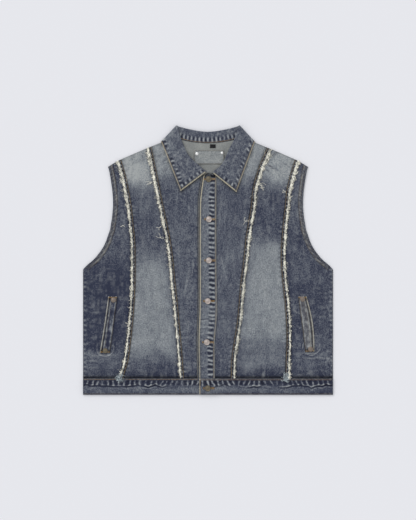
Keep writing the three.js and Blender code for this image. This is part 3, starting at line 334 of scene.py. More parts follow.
def creases(table, x, y, key):
    total = np.zeros(np.broadcast(x, y).shape)
    for fold in table:
        turn = math.radians(fold["turn"])
        along = (x - fold["x"]) * math.cos(turn) + (y - fold["y"]) * math.sin(turn)
        across = (y - fold["y"]) * math.cos(turn) - (x - fold["x"]) * math.sin(turn)
        total = total + fold[key] * bump(along, fold["length"]) * bump(across, fold["width"])
    return total


def run_of(points):
    """Length along a path, up to each of its points."""
    return np.concatenate([[0], np.cumsum(np.linalg.norm(np.diff(points, axis=0), axis=1))])


# The vest's outline and the heights of its cloth
armhole_x = through(ARMHOLE, "y", "x")
shoulder_y = through(SHOULDER, "x", "y")
placket_left = through(PLACKET, "y", "left")
placket_right = through(PLACKET, "y", "right")
fray_x = {name: through(FRAYS, "y", name) for name in SEAMS}


def half_width(y):
    return np.where(np.asarray(y) < UNDERARM_Y, BODY_HALF, armhole_x(y))


def side_gap(x, y):
    """How far in a place is from the side edge."""
    return half_width(y) - np.abs(x)


def edge_distance(x, y):
    """About how far a place is from the armhole's edge, measured square to it."""
    slope = (half_width(y + 2) - half_width(y - 2)) / 4
    return side_gap(x, y) / np.sqrt(1 + slope**2)


def back_neck_y(x):
    return BACK_NECK_Y + (NECK_SIDE["y"] - BACK_NECK_Y) * (np.asarray(x) / NECK_SIDE["x"]) ** 2


def fall_edge_y(x):
    low = COLLAR["fall_back_y"]
    return low + (COLLAR["corner"][1] - low) * (np.asarray(x) / COLLAR["corner"][0]) ** 2


def back_lift(x, y, ramp=BACK_RAMP):
    """Rise of the cloth over the collar's fall behind the neck."""
    edge = fall_edge_y(x)
    return FALL_RISE * smooth(y, edge - ramp["start"], edge - ramp["end"])


def front_lift(x, y):
    """Height of the fronts' underside, as in the solids."""
    from_side = smooth(side_gap(x, y), 0, SIDE_RAMP)
    from_shoulder = smooth(shoulder_y(np.abs(x)) - y, 0, SHOULDER_RAMP)
    drop = PLACKET_DROP["depth"] * bump(x - PLACKET_DROP["x"], PLACKET_DROP["width"])
    rise = PLACKET_RISE["height"] * bump(x - PLACKET_RISE["x"], PLACKET_RISE["width"])
    at_placket = np.where(x < (PLACKET_DROP["x"] + PLACKET_RISE["x"]) / 2, -drop, rise)
    stand_off = from_side * from_shoulder * (BODY_RISE + creases(FOLDS, x, y, "height") + at_placket)
    return back_lift(x, y, FRONT_RAMP) + CLOTH + SEAM_GAP + stand_off


def on_front(x, y):
    """Height of what is sewn on to the fronts."""
    return front_lift(x, y) + CLOTH + LAY_GAP


def seam_x(name, y):
    return fray_x[name](y) + SEAMS[name] * FLAP["width"]


def beside_seams(x, y):
    """For each seam, how far a place is on its inward side, and the seam's puckers there."""
    for k, (name, inward) in enumerate(SEAMS.items()):
        yield (x - seam_x(name, y)) * inward, uneven_wave(y, 12, 20 + k)


def side_puckers(x, y):
    return uneven_wave(y + 0.3 * x, 11.5, 30)


def front_top(x, y):
    """The fronts' outer face with the small creases and puckers."""
    relief = 0.52 * creases(CREASES, x, y, "height") + noises(x, y, (0.16, 26, 3), (0.1, 9, 4))
    for beside, wave in beside_seams(x, y):
        relief = relief + 0.22 * bump(beside - 3, 6) * wave * (beside > -1)
    gap = side_gap(x, y)
    relief = relief + 0.3 * bump(gap - 4, 5) * side_puckers(x, y) * (gap > 0)
    hem = ARMHOLE_HEM["rise"] * smooth(y, UNDERARM_Y - 2, UNDERARM_Y + 14)
    hem = hem * fall(edge_distance(x, y), ARMHOLE_HEM["width"] - 1.2, ARMHOLE_HEM["width"] + 0.6)
    return front_lift(x, y) + CLOTH + relief + hem


def band_bottom(sign, x):
    lapped = fall(x, BAND["lap_to"] + 1.5, BAND["lap_to"] + BAND["settle"])
    over = BAND["front_bottom"] + (BAND["over_bottom"] - BAND["front_bottom"]) * lapped
    return over if sign > 0 else np.full(np.shape(x), BAND["front_bottom"])


def band_shape(x, y):
    """Puckers of the waistband, from -1 in a dip to 1 on a crest, and how strong they are there."""
    top = BAND_TOP_Y - y
    reach = smooth(top, 3.5, 6.5) * fall(top, 14, 20 + 4 * along_noise(x, 9, 41))
    lean = (-0.1 + 0.8 * along_noise(x, 24, 44)) * (top - 10) + 1.6 * noise(x, y, 6, 48)
    depth = 0.85 + 0.5 * along_noise(x, 21, 47)
    return uneven_wave(x + lean, BAND_PUCKERS["pitch"], 40, 2.4) - 0.15, reach * depth


def band_ridge(x, y):
    """The wavy fold of the waistband below its puckers: 1 on its crest, negative in the dip under it."""
    level = 17.5 - 4.5 * fall(x, -262, -222) + 4.4 * along_noise(x, 26, 42) + 3.6 * along_noise(x, 9, 45)
    below = BAND_TOP_Y - y - level
    strength = np.clip(0.5 + 1.2 * along_noise(x, 26, 46) + 0.35 * smooth(-x, 100, 180), 0.08, 1.15)
    return strength * (1.1 * bump(below, 1.5) - 1.3 * bump(below - 3.2, 1.9) + 0.35 * bump(below - 6.5, 1.8))


def band_top(x, y, sign):
    flat = smooth(x, BAND["lap_from"] - 6, BAND["lap_from"]) if sign < 0 else 0 * x
    cloth = BAND["front_cloth"] + (BAND["lap_cloth"] - BAND["front_cloth"]) * flat
    wave, reach = band_shape(x, y)
    edge = 0.35 * fall(y, HEM_Y, HEM_Y + 2.5)
    relief = BAND_PUCKERS["height"] * reach * (0.5 + 0.5 * wave)
    relief = relief + 0.35 * band_ridge(x, y) + 0.1 * noise(x, y, 7, 43)
    return band_bottom(sign, x) + cloth + relief * (1 - flat) - edge


def placket_shape(x, y):
    """Puckers of the button band, and how strong they are there."""
    share = (x - placket_left(y)) / (placket_right(y) - placket_left(y))
    lean = 5 * (share - 0.7) + 1.8 * noise(x, y, 8, 53)
    ragged = 0.05 * noise(0 * y, y, 8, 52)
    reach = smooth(share + ragged, PLACKET_PUCKERS["from"], 0.6) * fall(share, 0.86, PLACKET_PUCKERS["to"])
    return uneven_wave(y + lean, PLACKET_PUCKERS["pitch"], 50, 1.5), reach


def placket_top(x, y):
    wave, reach = placket_shape(x, y)
    small = 0.12 * noise(x, y, 12, 51) + 0.1 * bump(np.mod(y + 175, 400) - 8, 5) * np.cos(y)
    relief = PLACKET_PUCKERS["height"] * reach * (0.5 + 0.5 * wave) + small
    edges = 0.3 * fall(x - placket_left(y), 0, 2) + 0.75 * fall(placket_right(y) - x, 0, 2.6)
    return PLACKET_BOTTOM + FOLDED_CLOTH + relief - edges


# Meshes
def mesh_object(name, points, faces, material, marks=None):
    """A piece from points in pattern millimetres, with named values for its points."""
    moved = np.asarray(points, float).reshape(-1, 3) + (0, SHIFT_Y, 0)
    mesh = bpy.data.meshes.new(name)
    mesh.from_pydata((moved * MM).tolist(), [], [tuple(face) for face in faces])
    for mark, values in (marks or {}).items():
        layer = mesh.attributes.new(mark, "FLOAT", "POINT")
        layer.data.foreach_set("value", np.asarray(values, np.float32).ravel())
    mesh.materials.append(material)
    mesh.shade_smooth()
    piece = bpy.data.objects.new(name, mesh)
    bpy.context.scene.collection.objects.link(piece)
    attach(piece, "root")
    return piece


def shell_faces(lines, columns):
    """Faces of a closed sheet: its outer grid, its inner grid and the rim between them."""
    count = lines * columns
    i, j = np.indices((lines - 1, columns - 1))
    a = (i * columns + j).ravel()
    over = np.stack([a, a + 1, a + columns + 1, a + columns], 1)
    ring = np.concatenate([
        np.arange(columns),
        np.arange(1, lines) * columns + columns - 1,
        (lines - 1) * columns + np.arange(columns - 2, -1, -1),
        np.arange(lines - 2, 0, -1) * columns,
    ])
    after = np.roll(ring, -1)
    rim = np.stack([ring, ring + count, after + count, after], 1)
    return np.concatenate([over, (over + count)[:, ::-1], rim])


def shell(name, over, under, material, marks, lining=1.0):
    """A closed sheet between two faces; lining is how much the second face is the inner face of the cloth."""
    lines, columns = over.shape[:2]
    faces = shell_faces(lines, columns)
    i, j = lines // 2, columns // 2
    facing = np.cross(over[i, j + 1] - over[i, j - 1], over[i + 1, j] - over[i - 1, j])
    if np.dot(facing, over[i, j] - under[i, j]) < 0:
        faces = faces[:, ::-1]
    inside = np.full(lines * columns, marks.get("inside", 0.0))
    doubled = {"inside": np.concatenate([inside, 0 * inside + lining])}
    for mark in ("fade", "crest", "shade", "worn"):
        values = np.broadcast_to(marks.get(mark, 0.0), (lines, columns)).ravel()
        kept = 1.0 if lining == 0 else 0.4 if mark == "crest" else 0.0
        doubled[mark] = np.concatenate([values, values * kept])
    both = np.concatenate([over.reshape(-1, 3), under.reshape(-1, 3)])
    return mesh_object(f"{name}_cloth", both, faces, material, doubled)


def cut_of(x, y):
    """Width and length, and area, in metres of a piece spread over a grid of places."""
    at = (x + 1j * y) * MM
    corner = at[:-1, :-1]
    to_right, to_far, upward = at[:-1, 1:] - corner, at[1:, 1:] - corner, at[1:, :-1] - corner
    area = 0.5 * (np.abs((to_right.conj() * to_far).imag) + np.abs((to_far.conj() * upward).imag)).sum()
    width = np.abs(at[:, -1] - at[:, 0]).max()
    length = np.abs(np.diff(at, axis=0)).sum(axis=0).max()
    flat = (max(round(width, 4), LEAST_FLAT), max(round(length, 4), LEAST_FLAT))
    return flat, round(min(area, width * length), 6)


def sheet(name, x, y, top, bottom, marks, material=None):
    """A closed sheet between two heights over a grid of places, in its solid's stead."""
    x, y, top, bottom = np.broadcast_arrays(x, y, top, bottom)
    over, under = np.stack([x, y, top], -1), np.stack([x, y, bottom], -1)
    piece = shell(name, over, under, material or denim, marks)
    flat, area = cut_of(x, y)
    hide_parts(name)


# Threads and stitches
def strands(name, centres, radius, sides, material, tone):
    """Joined tubes, each with its own tone: centres is (strand, point, xyz), radius is (strand, point)."""
    count, length, _ = centres.shape
    ahead = np.gradient(centres, axis=1)
    ahead /= np.maximum(np.linalg.norm(ahead, axis=2, keepdims=True), 1e-9)
    side = np.cross(ahead, np.broadcast_to(np.array([0.13, 0.11, 0.98]), ahead.shape))
    side /= np.maximum(np.linalg.norm(side, axis=2, keepdims=True), 1e-9)
    top = np.cross(side, ahead)
    angles = np.arange(sides) * 2 * math.pi / sides + math.pi / sides
    ring = np.cos(angles)[:, None] * side[:, :, None, :] + np.sin(angles)[:, None] * top[:, :, None, :]
    points = centres[:, :, None, :] + ring * radius[:, :, None, None]
    strand, level, corner = np.indices((count, length - 1, sides))
    base = (strand * length + level) * sides
    beyond = (corner + 1) % sides
    walls = [base + sides + corner, base + sides + beyond, base + beyond, base + corner]
    first = np.arange(count)[:, None] * length * sides + np.arange(sides)
    last = (first + (length - 1) * sides)[:, ::-1]
    faces = np.stack(walls, -1).reshape(-1, 4).tolist() + first.tolist() + last.tolist()
    tones = np.broadcast_to(np.reshape(tone, (count, -1)), (count, length)).ravel()
    return mesh_object(name, points, faces, material, {"tone": np.repeat(tones, sides)})


STITCH = {"places": np.array([0.0, 0.1, 0.5, 0.9, 1.0]), "thickness": np.array([0.45, 0.9, 1.0, 0.9, 0.45]),
          "rise": np.array([-0.5, 0.45, 0.7, 0.45, -0.5])}
stitch_lines = {}


def sew(thread, label, path, pitch, gap, radius):
    """A line of stitches along a path of xyz points: each dips into the cloth at both ends."""
    path = np.asarray(path, float)
    reach = run_of(path)
    count = max(int(reach[-1] / pitch), 1)
    starts = np.arange(count) * reach[-1] / count
    places = starts[:, None] + gap / 2 + STITCH["places"][None, :] * (reach[-1] / count - gap)
    points = np.stack([np.interp(places, reach, path[:, k]) for k in range(3)], -1)
    points[..., 2] += radius * STITCH["rise"]
    radii = np.broadcast_to(radius * STITCH["thickness"], points.shape[:2])
    stitch_lines.setdefault((thread, label), []).append((points, radii))


def make_stitches():
    """One joined mesh of stitches for each thread and label."""
    for (thread, label), lines in stitch_lines.items():
        centres = np.concatenate([points for points, _ in lines])
        radii = np.concatenate([radius for _, radius in lines])
        tone = np.random.default_rng(len(centres)).uniform(0, 1, len(centres))
        strands(f"stitching_{label}_{thread}", centres, radii, 4, THREADS[thread], tone)


def over_line(x, y, height):
    x, y = np.broadcast_arrays(np.asarray(x, float), np.asarray(y, float))
    return np.stack([x, y, height(x, y)], -1)


# Finishes
def srgb(*values):
    scaled = [value / 255 for value in values]
    linear = [c / 12.92 if c <= 0.04045 else ((c + 0.055) / 1.055) ** 2.4 for c in scaled]
    return (*linear, 1.0)


def new_group(name, inputs, outputs):
    """A node group whose inputs are numbers and whose outputs are numbers, but for Color."""
    group = bpy.data.node_groups.new(name, "ShaderNodeTree")
    for label, value in inputs.items():
        group.interface.new_socket(label, in_out="INPUT", socket_type="NodeSocketFloat").default_value = value
    for label in outputs:
        kind = "NodeSocketColor" if label == "Color" else "NodeSocketFloat"
        group.interface.new_socket(label, in_out="OUTPUT", socket_type=kind)
    return group, group.nodes.new("NodeGroupInput").outputs, group.nodes.new("NodeGroupOutput")


def set_inputs(tree, made, inputs):
    """Links the given sockets to a node's inputs, and sets the given values."""
    for key, value in inputs.items():
        if isinstance(value, bpy.types.NodeSocket):
            tree.links.new(value, made.inputs[key])
        else:
            made.inputs[key].default_value = value


def node(tree, kind, inputs, **settings):
    made = tree.nodes.new(f"ShaderNode{kind}")
    for key, value in settings.items():
        setattr(made, key, value)
    set_inputs(tree, made, inputs)
    return made.outputs


def add(tree, first, second, clamp=False):
    return node(tree, "Math", {0: first, 1: second}, operation="ADD", use_clamp=clamp)[0]


def times(tree, first, second, clamp=False):
    return node(tree, "Math", {0: first, 1: second}, operation="MULTIPLY", use_clamp=clamp)[0]


def blend_colour(tree, factor, first, second, mode="MIX"):
    return node(tree, "Mix", {0: factor, 6: first, 7: second}, data_type="RGBA", blend_type=mode)[2]


def bumped(tree, height, strength, distance):
    return node(tree, "Bump", {"Strength": strength, "Distance": distance, "Height": height})[0]


def fine_noise(tree, scale, stretch=(1, 1, 1), detail=3.0, rough=0.6):
    spread = node(tree, "Mapping", {"Vector": node(tree, "TexCoord", {})["Object"], "Scale": stretch})[0]
    given = {"Vector": spread, "Scale": scale, "Detail": detail, "Roughness": rough}
    return node(tree, "TexNoise", given)["Fac"]


def colour_stops(tree, factor, stops):
    ramp = tree.nodes.new("ShaderNodeValToRGB")
    set_inputs(tree, ramp, {"Fac": factor})
    elements = ramp.color_ramp.elements
    while len(elements) < len(stops):
        elements.new(0.5)
    for element, (position, colour) in zip(elements, stops):
        element.position = position
        element.color = colour
    return ramp.outputs[0]


def weave_group():
    """Twill: diagonal ribs with uneven yarns, as a height."""
    group, given, out = new_group("Twill weave", {"Rib pitch": 0.9}, ["Height", "Yarn"])
    pitch = times(group, given["Rib pitch"], 0.00155)
    scale = node(group, "Math", {0: 1.0, 1: pitch}, operation="DIVIDE")[0]
    place = node(group, "TexCoord", {})["Object"]
    turned_place = node(group, "Mapping", {"Vector": place, "Rotation": (0, 0, math.radians(62))})[0]
    bands = {"Vector": turned_place, "Scale": scale, "Distortion": 1.2, "Detail": 1.0, "Detail Scale": 2.0}
    ribs = node(group, "TexWave", bands, wave_type="BANDS")["Fac"]
    yarn = fine_noise(group, 900, (1, 0.16, 1), 2.0)
    set_inputs(group, out, {"Height": times(group, ribs, add(group, yarn, 0.3)), "Yarn": yarn})
    return group


def denim_group():
    """Colour, height and roughness of washed denim from its fading, creasing, painted shade and worn edges.
    """
    group, given, out = new_group(
        "Washed denim", {"Fade": 0.2, "Crest": 0.0, "Shade": 0.0, "Worn": 0.0, "Inside": 0.0},
        ["Color", "Height", "Roughness"])
    twill = node(group, "Group", {}, node_tree=weave_group())
    heather = fine_noise(group, 430, (1, 0.75, 1), 2.0, 0.6)
    streak = fine_noise(group, 520, (1, 0.12, 1), 3.0, 0.7)
    blotch = fine_noise(group, 34, (1, 0.7, 1), 3.0, 0.6)

    def centred(grain, amount):
        return times(group, node(group, "Math", {0: grain, 1: 0.5}, operation="SUBTRACT")[0], amount)

    lively = add(group, times(group, given["Fade"], 0.5), 0.75)
    mottle = add(group, centred(heather, 1.35), centred(streak, 0.45))
    mottle = add(group, mottle, centred(twill["Yarn"], 0.6))
    fade = add(group, given["Fade"], times(group, mottle, lively))
    fade = add(group, fade, centred(blotch, 0.12), True)
    blue = colour_stops(group, fade, [
        (0.0, srgb(46, 51, 70)),
        (0.12, srgb(71, 76, 91)),
        (0.3, srgb(98, 103, 113)),
        (0.6, srgb(127, 133, 139)),
        (1.0, srgb(163, 167, 168)),
    ])
    patchy = add(group, centred(heather, 0.8), 1.0)
    light = times(group, times(group, given["Crest"], 0.85), patchy, True)
    dip = times(group, times(group, given["Crest"], -0.9), patchy, True)
    creased = blend_colour(group, light, blue, srgb(168, 172, 174))
    creased = blend_colour(group, dip, creased, srgb(36, 40, 60))
    edged = blend_colour(group, times(group, given["Worn"], patchy, True), creased, srgb(200, 192, 168))
    clouded = add(group, heather, centred(blotch, 0.9), True)
    inner = blend_colour(group, clouded, srgb(108, 112, 114), srgb(156, 158, 155))
    faced = blend_colour(group, given["Inside"], edged, inner)
    # Shade darkens the colour towards grey: painted shade in seams, dips, grooves, along edges and under
    # other pieces
    kept = {0: 1.0, 1: times(group, given["Shade"], 0.8)}
    dim = node(group, "Math", kept, operation="SUBTRACT", use_clamp=True)[0]
    grey = node(group, "CombineColor", {0: dim, 1: dim, 2: dim})[0]
    set_inputs(group, out, {
        "Color": blend_colour(group, 1.0, faced, grey, "MULTIPLY"),
        "Height": add(group, times(group, twill["Height"], 0.6), heather),
        "Roughness": add(group, times(group, heather, 0.14), 0.82),
    })
    return group


def tarnish_group():
    """Dull blotches and fine scratches of old metal, as a mask and a roughness."""
    group, given, out = new_group("Tarnish", {"Amount": 0.5}, ["Mask", "Roughness"])
    blotch = fine_noise(group, 420, (1, 1, 1), 4.0, 0.7)
    scratch = fine_noise(group, 1500, (1, 0.1, 1), 2.0, 0.6)
    mask = times(group, times(group, blotch, 1.8), given["Amount"], True)
    rough = add(group, times(group, scratch, 0.3), times(group, mask, 0.3))
    set_inputs(group, out, {"Mask": mask, "Roughness": add(group, rough, 0.12, True)})
    return group


def new_material(name, inputs_of):
    """A material whose main shader takes the inputs that a function of its node tree gives."""
    material = bpy.data.materials.new(name)
    material.use_nodes = True
    tree = material.node_tree
    set_inputs(tree, tree.nodes["Principled BSDF"], inputs_of(tree))
    return material


def denim_finish(tree):
    marks = {mark: node(tree, "Attribute", {}, attribute_name=mark.lower())["Fac"]
             for mark in ("Fade", "Crest", "Shade", "Worn", "Inside")}
    cloth = tree.nodes.new("ShaderNodeGroup")
    cloth.node_tree = denim_group()
    set_inputs(tree, cloth, marks)
    return {"Base Color": cloth.outputs["Color"], "Roughness": cloth.outputs["Roughness"],
            "Normal": bumped(tree, cloth.outputs["Height"], 0.35, 0.0005),
            "Specular IOR Level": 0.12, "Sheen Weight": 0.06, "Sheen Roughness": 0.6}


def thread_material(name, dark, light, rough=0.75):
    """Cotton thread: a tone for each strand, and twisted plies."""
    def finish(tree):
        tone = node(tree, "Attribute", {}, attribute_name="tone")["Fac"]
        plies = fine_noise(tree, 1400, (1, 1, 1), 2.0)
        both = add(tree, times(tree, tone, 0.75), times(tree, plies, 0.35), True)
        return {"Base Color": blend_colour(tree, both, srgb(*dark), srgb(*light)), "Roughness": rough,
                "Normal": bumped(tree, plies, 0.4, 0.0002), "Specular IOR Level": 0.2}

    return new_material(name, finish)


def cloth_material(name, dark, light, scale):
    """Plain woven cloth in two close tones."""
    def finish(tree):
        grain = fine_noise(tree, scale, (1, 0.4, 1), 3.0)
        return {"Base Color": blend_colour(tree, grain, srgb(*dark), srgb(*light)), "Roughness": 0.9,
                "Normal": bumped(tree, grain, 0.3, 0.0003), "Specular IOR Level": 0.15}

    return new_material(name, finish)


def metal_material(name, bright, dull, amount):
    """Metal with tarnish over an amount of it."""
    def finish(tree):
        old = tree.nodes.new("ShaderNodeGroup")
        old.node_tree = tarnish
        set_inputs(tree, old, {"Amount": amount})
        return {"Base Color": blend_colour(tree, old.outputs["Mask"], srgb(*bright), srgb(*dull)),
                "Roughness": old.outputs["Roughness"], "Metallic": 0.85}

    return new_material(name, finish)


tarnish = tarnish_group()
denim = new_material("washed denim", denim_finish)
THREADS = {
    "tan": thread_material("tan thread", (128, 104, 68), (176, 152, 110)),
    "gold": thread_material("gold thread", (120, 92, 54), (172, 138, 86)),
    "cream": thread_material("cream thread", (164, 156, 132), (205, 198, 176)),
    "brown": thread_material("brown thread", (74, 62, 52), (112, 94, 72)),
}
# Frayed cotton: its light tones are the cream cotton, its dark grey tones are painted shade between the lumps
frayed_cotton = thread_material("frayed cotton", (88, 88, 86), (255, 253, 240), 0.9)
blue_cotton = thread_material("frayed blue cotton", (30, 38, 62), (206, 218, 222), 0.9)
pocketing = cloth_material("unbleached pocketing", (176, 170, 152), (206, 200, 182), 600)
black_tape = cloth_material("black woven tape", (22, 22, 24), (44, 44, 47), 700)
button_metal = metal_material("aged pink nickel", (208, 197, 192), (128, 118, 112), 0.5)
# Darker brown metal: the aged colour of button 6 and the lower left pocket rivet, and painted shade on button
# 1 under the collar
aged_and_shaded_metal = metal_material("aged brown brass and painted shade", (134, 126, 108), (76, 70, 60), 0.55)
copper_metal = metal_material("aged copper", (152, 140, 132), (96, 88, 80), 0.55)
nickel_metal = metal_material("bright nickel", (240, 240, 240), (210, 212, 214), 0.2)


# Panels
def patch(low_line, high_line, first_line, last_line, columns, levels, late=1):
    """A grid between four curves, as x and y. A higher late keeps the top's shape near the top."""
    across = np.linspace(0, 1, columns)
    along = np.linspace(0, 1, levels)
    low, high, first, last = low_line(across), high_line(across), first_line(along), last_line(along)
    across = across[None, :, None]
    along = along[:, None, None]
    low_bend = low[None] - (1 - across) * low[0] - across * low[-1]
    high_bend = high[None] - (1 - across) * high[0] - across * high[-1]
    grid = (1 - across) * first[:, None] + across * last[:, None]
    grid = grid + (1 - along) * low_bend + along**late * high_bend
    return grid[..., 0], grid[..., 1]


def straight(a, b):
    return lambda s: np.stack([a[0] + (b[0] - a[0]) * s, a[1] + (b[1] - a[1]) * s], -1)


def shoulder_line(from_x, to_x):
    def at(s):
        x = from_x + (to_x - from_x) * s
        return np.stack([x, shoulder_y(np.abs(x))], -1)

    return at


def seam_curve(name, aside):
    """A seam from the waistband to the shoulder, moved aside along X."""
    line_x = lambda y: seam_x(name, y) + aside
    top_y = SHOULDER_TIP["y"]
    for _ in range(12):
        top_y = float(shoulder_y(abs(line_x(top_y))))

    def at(s):
        y = PANEL_LOW_Y + (top_y - PANEL_LOW_Y) * np.asarray(s)
        return np.stack([line_x(y), y], -1)

    return at


def side_curve(sign):
    """The side edge and the armhole, half of the curve's length each."""
    def at(s):
        s = np.asarray(s, float)
        low = PANEL_LOW_Y + (UNDERARM_Y - BAND_TOP_Y) * np.minimum(2 * s, 1)
        high = UNDERARM_Y + (SHOULDER_TIP["y"] - UNDERARM_Y) * (2 * s - 1)
        y = np.where(s > 0.5, high, np.minimum(low, UNDERARM_Y))
        return np.stack([sign * half_width(y), y], -1)

    return at


def pocket_arcs(x, y):
    """Creases that run round the lower ends of the pockets."""
    total = np.zeros_like(x)
    for at_x, at_y, reach in POCKET_ARCS:
        beyond = np.hypot(x - at_x, y - at_y) - reach - 1.5 * noise(x, y, 12, 74)
        arc = 0.75 * bump(beyond, 1.3) - 0.4 * bump(beyond - 3, 1.6)
        total += arc * smooth(at_y + 14 - y, 0, 10)
        total += 0.6 * bump(y - at_y + 17.5 + 0.03 * np.abs(x - at_x), 1.3) * bump(x - at_x, 24)
    return total


def collar_shadow(x, y):
    """Shadow on the fronts beside the collar's edges."""
    total = np.zeros_like(x)
    for label, line, sign in (("left", COLLAR_LEFT, -1), ("right", COLLAR_RIGHT, 1)):
        point = COLLAR[f"point_{label}"]
        neck = (line["roll_x"][0], line["roll_y"][0])
        corner = (sign * COLLAR["corner"][0], COLLAR["corner"][1])
        for end, strength, width in ((neck, 1.0, 5.0), (corner, 0.8, 3.4)):
            run = np.array(end) - np.array(point)
            share = np.clip(((x - point[0]) * run[0] + (y - point[1]) * run[1]) / (run @ run), 0, 1)
            away = np.hypot(x - point[0] - share * run[0], y - point[1] - share * run[1])
            total = np.maximum(total, strength * bump(away, width))
    return total


def front_marks(x, y, panel):
    """Fading, crests, shade and wear of a front."""
    kind = panel.split("_")[0]
    table = FADE[panel if kind == "middle" else kind]
    fade = through(table, "y", "fade")(y + noises(x, y, (9, 30, 60), (4, 11, 61)))
    fade += noises(x, y, (0.06, 48, 62), (0.05, 15, 63)) + 0.05 * noise(x, 0.2 * y, 9, 65)
    fade += creases(CREASES, x, y, "fade") + creases(FOLDS, x, y, "fade")
    crest = (0.12 if kind == "side" else 0.08) * noise(0.25 * x, y, 6, 66) * smooth(-y, -40, 120)
    crest += 0.14 * noise(x, y, 5, 67) + 0.14 * noise(x, 0.3 * y, 5, 68)
    crest += creases(LINES, x, y, "mark") + 0.85 * pocket_arcs(x, y)
    if kind == "side":
        fade += (-0.07 if panel == "side_left" else 0.06) * smooth(-y, -30, 60)
    if panel == "side_left":
        fade += 0.13 * smooth(-y, 212, 240)
    gathers = bump(x - 140, 26) + 0.6 * bump(x + 120, 60)
    crest += 0.6 * gathers * noise(x, 0.2 * y, 5, 69) * fall(y, BAND_TOP_Y + 8, BAND_TOP_Y + 34)
    shade = 0.85 * collar_shadow(x, y)
    for beside, wave in beside_seams(x, y):
        near = (beside > -0.5) & (beside < 26)
        crest += near * 0.4 * wave * bump(beside - 3.5, 3.8)
        shade += near * 0.4 * bump(beside, 2.0)
        past_flap = beside + FLAP["width"]
        outside = (past_flap < 0) & (beside > -40)
        fade -= outside * 0.55 * np.clip(fade, 0, 1) * bump(past_flap, 11)
        shade += outside * 0.72 * bump(past_flap + 1.6, 2.6)
    gap = side_gap(x, y)
    crest += 0.6 * side_puckers(x, y) * bump(gap - 4, 3.4) * (y < UNDERARM_Y)
    to_hem = edge_distance(x, y)
    on_hem = smooth(y, UNDERARM_Y - 2, UNDERARM_Y + 10) * fall(to_hem, 12, 14)
    crest += on_hem * 0.34 * uneven_wave(y + 0.6 * np.abs(x), 9, 64) * bump(to_hem - 7, 5)
    shade += on_hem * (0.42 * bump(to_hem - 12.4, 1.5) + 0.36 * bump(to_hem - 5.4, 1.5))
    above_band = y - BAND_TOP_Y
    shade += 0.8 * fall(above_band, 3.5, 9) + 0.14 * fall(above_band, 5, 30)
    shade += 0.3 * bump(x - placket_left(y) + UNDER_STRIP, 3.2) * (y < PLACKET_TOP_Y + 4)
    shade += 0.26 * bump(x - placket_right(y) - 0.5, 1.6) * (y < PLACKET_TOP_Y)
    shade += 0.6 * fall(to_hem, 0.6, 2.4) * (y > UNDERARM_Y + 4)
    shade += 0.5 * fall(shoulder_y(np.abs(x)) - y, 0.4, 2.4) * (np.abs(x) > NECK_SIDE["x"])
    shade += 0.45 * fall(gap, 0.4, 2.2) * (y < UNDERARM_Y)
    worn = 0.25 * on_hem * bump(to_hem - 8.5, 2.4) * (0.5 + 0.5 * noise(x, y, 5, 75))
    return {"fade": fade, "crest": crest, "shade": np.clip(shade, 0, 1), "worn": worn}


def front_panel(panel, top, inner, outer):
    widest = max(np.abs(inner(0.5) - outer(0.5)).max(), 60)
    late = 8 if panel.startswith("center") else 1
    columns, levels = int(widest / GRID) + 2, int(PANEL_LENGTH / GRID)
    x, y = patch(straight(inner(0.0), outer(0.0)), top, inner, outer, columns, levels, late)
    under = front_lift(x, y)
    over = np.maximum(front_top(x, y), under + 0.6)
    sheet(f"front_{panel}", x, y, over, under, front_marks(x, y, panel))


def side_panel(sign, label):
    inner = seam_curve(f"outer_{label}", sign * SEAM_GAP / 2)
    outer = side_curve(sign)
    front_panel(f"side_{label}", shoulder_line(inner(1.0)[0], outer(1.0)[0]), inner, outer)


def middle_panel(sign, label):
    outer = seam_curve(f"outer_{label}", -sign * SEAM_GAP / 2)
    inner = seam_curve(f"inner_{label}", sign * SEAM_GAP / 2)
    front_panel(f"middle_{label}", shoulder_line(inner(1.0)[0], outer(1.0)[0]), inner, outer)


def center_panel(sign, label, collar_table, edge_x):
    """A centre front: its top follows the collar's seam and then the shoulder."""
    outer = seam_curve(f"inner_{label}", -sign * SEAM_GAP / 2)
    edge_top_x = float(edge_x(PLACKET_TOP_Y))
    roll = np.stack([collar_table["roll_x"], collar_table["roll_y"]], -1)
    neck = np.stack([collar_table["seam_x"], collar_table["seam_y"]], -1).astype(float)
    away = neck - roll
    neck += NECK_SEAM_TURN * away / np.linalg.norm(away, axis=1, keepdims=True)
    neck = neck[sign * neck[:, 0] > sign * edge_top_x + 1]
    neck_x = NECK_SIDE["x"] + 2
    inner_limit = neck_x - 0.9 * np.arange(len(neck) - 1, -1, -1)
    neck[:, 0] = sign * np.minimum(np.abs(neck[:, 0]), inner_limit)
    neck[-1] = (sign * neck_x, shoulder_y(neck_x))
    start = np.array([edge_top_x, neck[0][1] - 4])
    points = np.vstack([start, neck])
    reach = run_of(points)
    table = {"reach": reach / reach[-1], "x": points[:, 0], "y": points[:, 1]}
    neck_at = [through(table, "reach", key) for key in ("x", "y")]
    shoulder = shoulder_line(sign * neck_x, outer(1.0)[0])
    share = 0.72

    def top(s):
        s = np.asarray(s)[:, None]
        on_neck = np.stack([at(np.minimum(s[:, 0] / share, 1)) for at in neck_at], -1)
        return np.where(s < share, on_neck, shoulder(np.clip((s[:, 0] - share) / (1 - share), 0, 1)))

    def inner(s):
        y = PANEL_LOW_Y + (start[1] - BAND_TOP_Y) * np.asarray(s)
        return np.stack([edge_x(y), y], -1)

    front_panel(f"center_{label}", top, inner, outer)


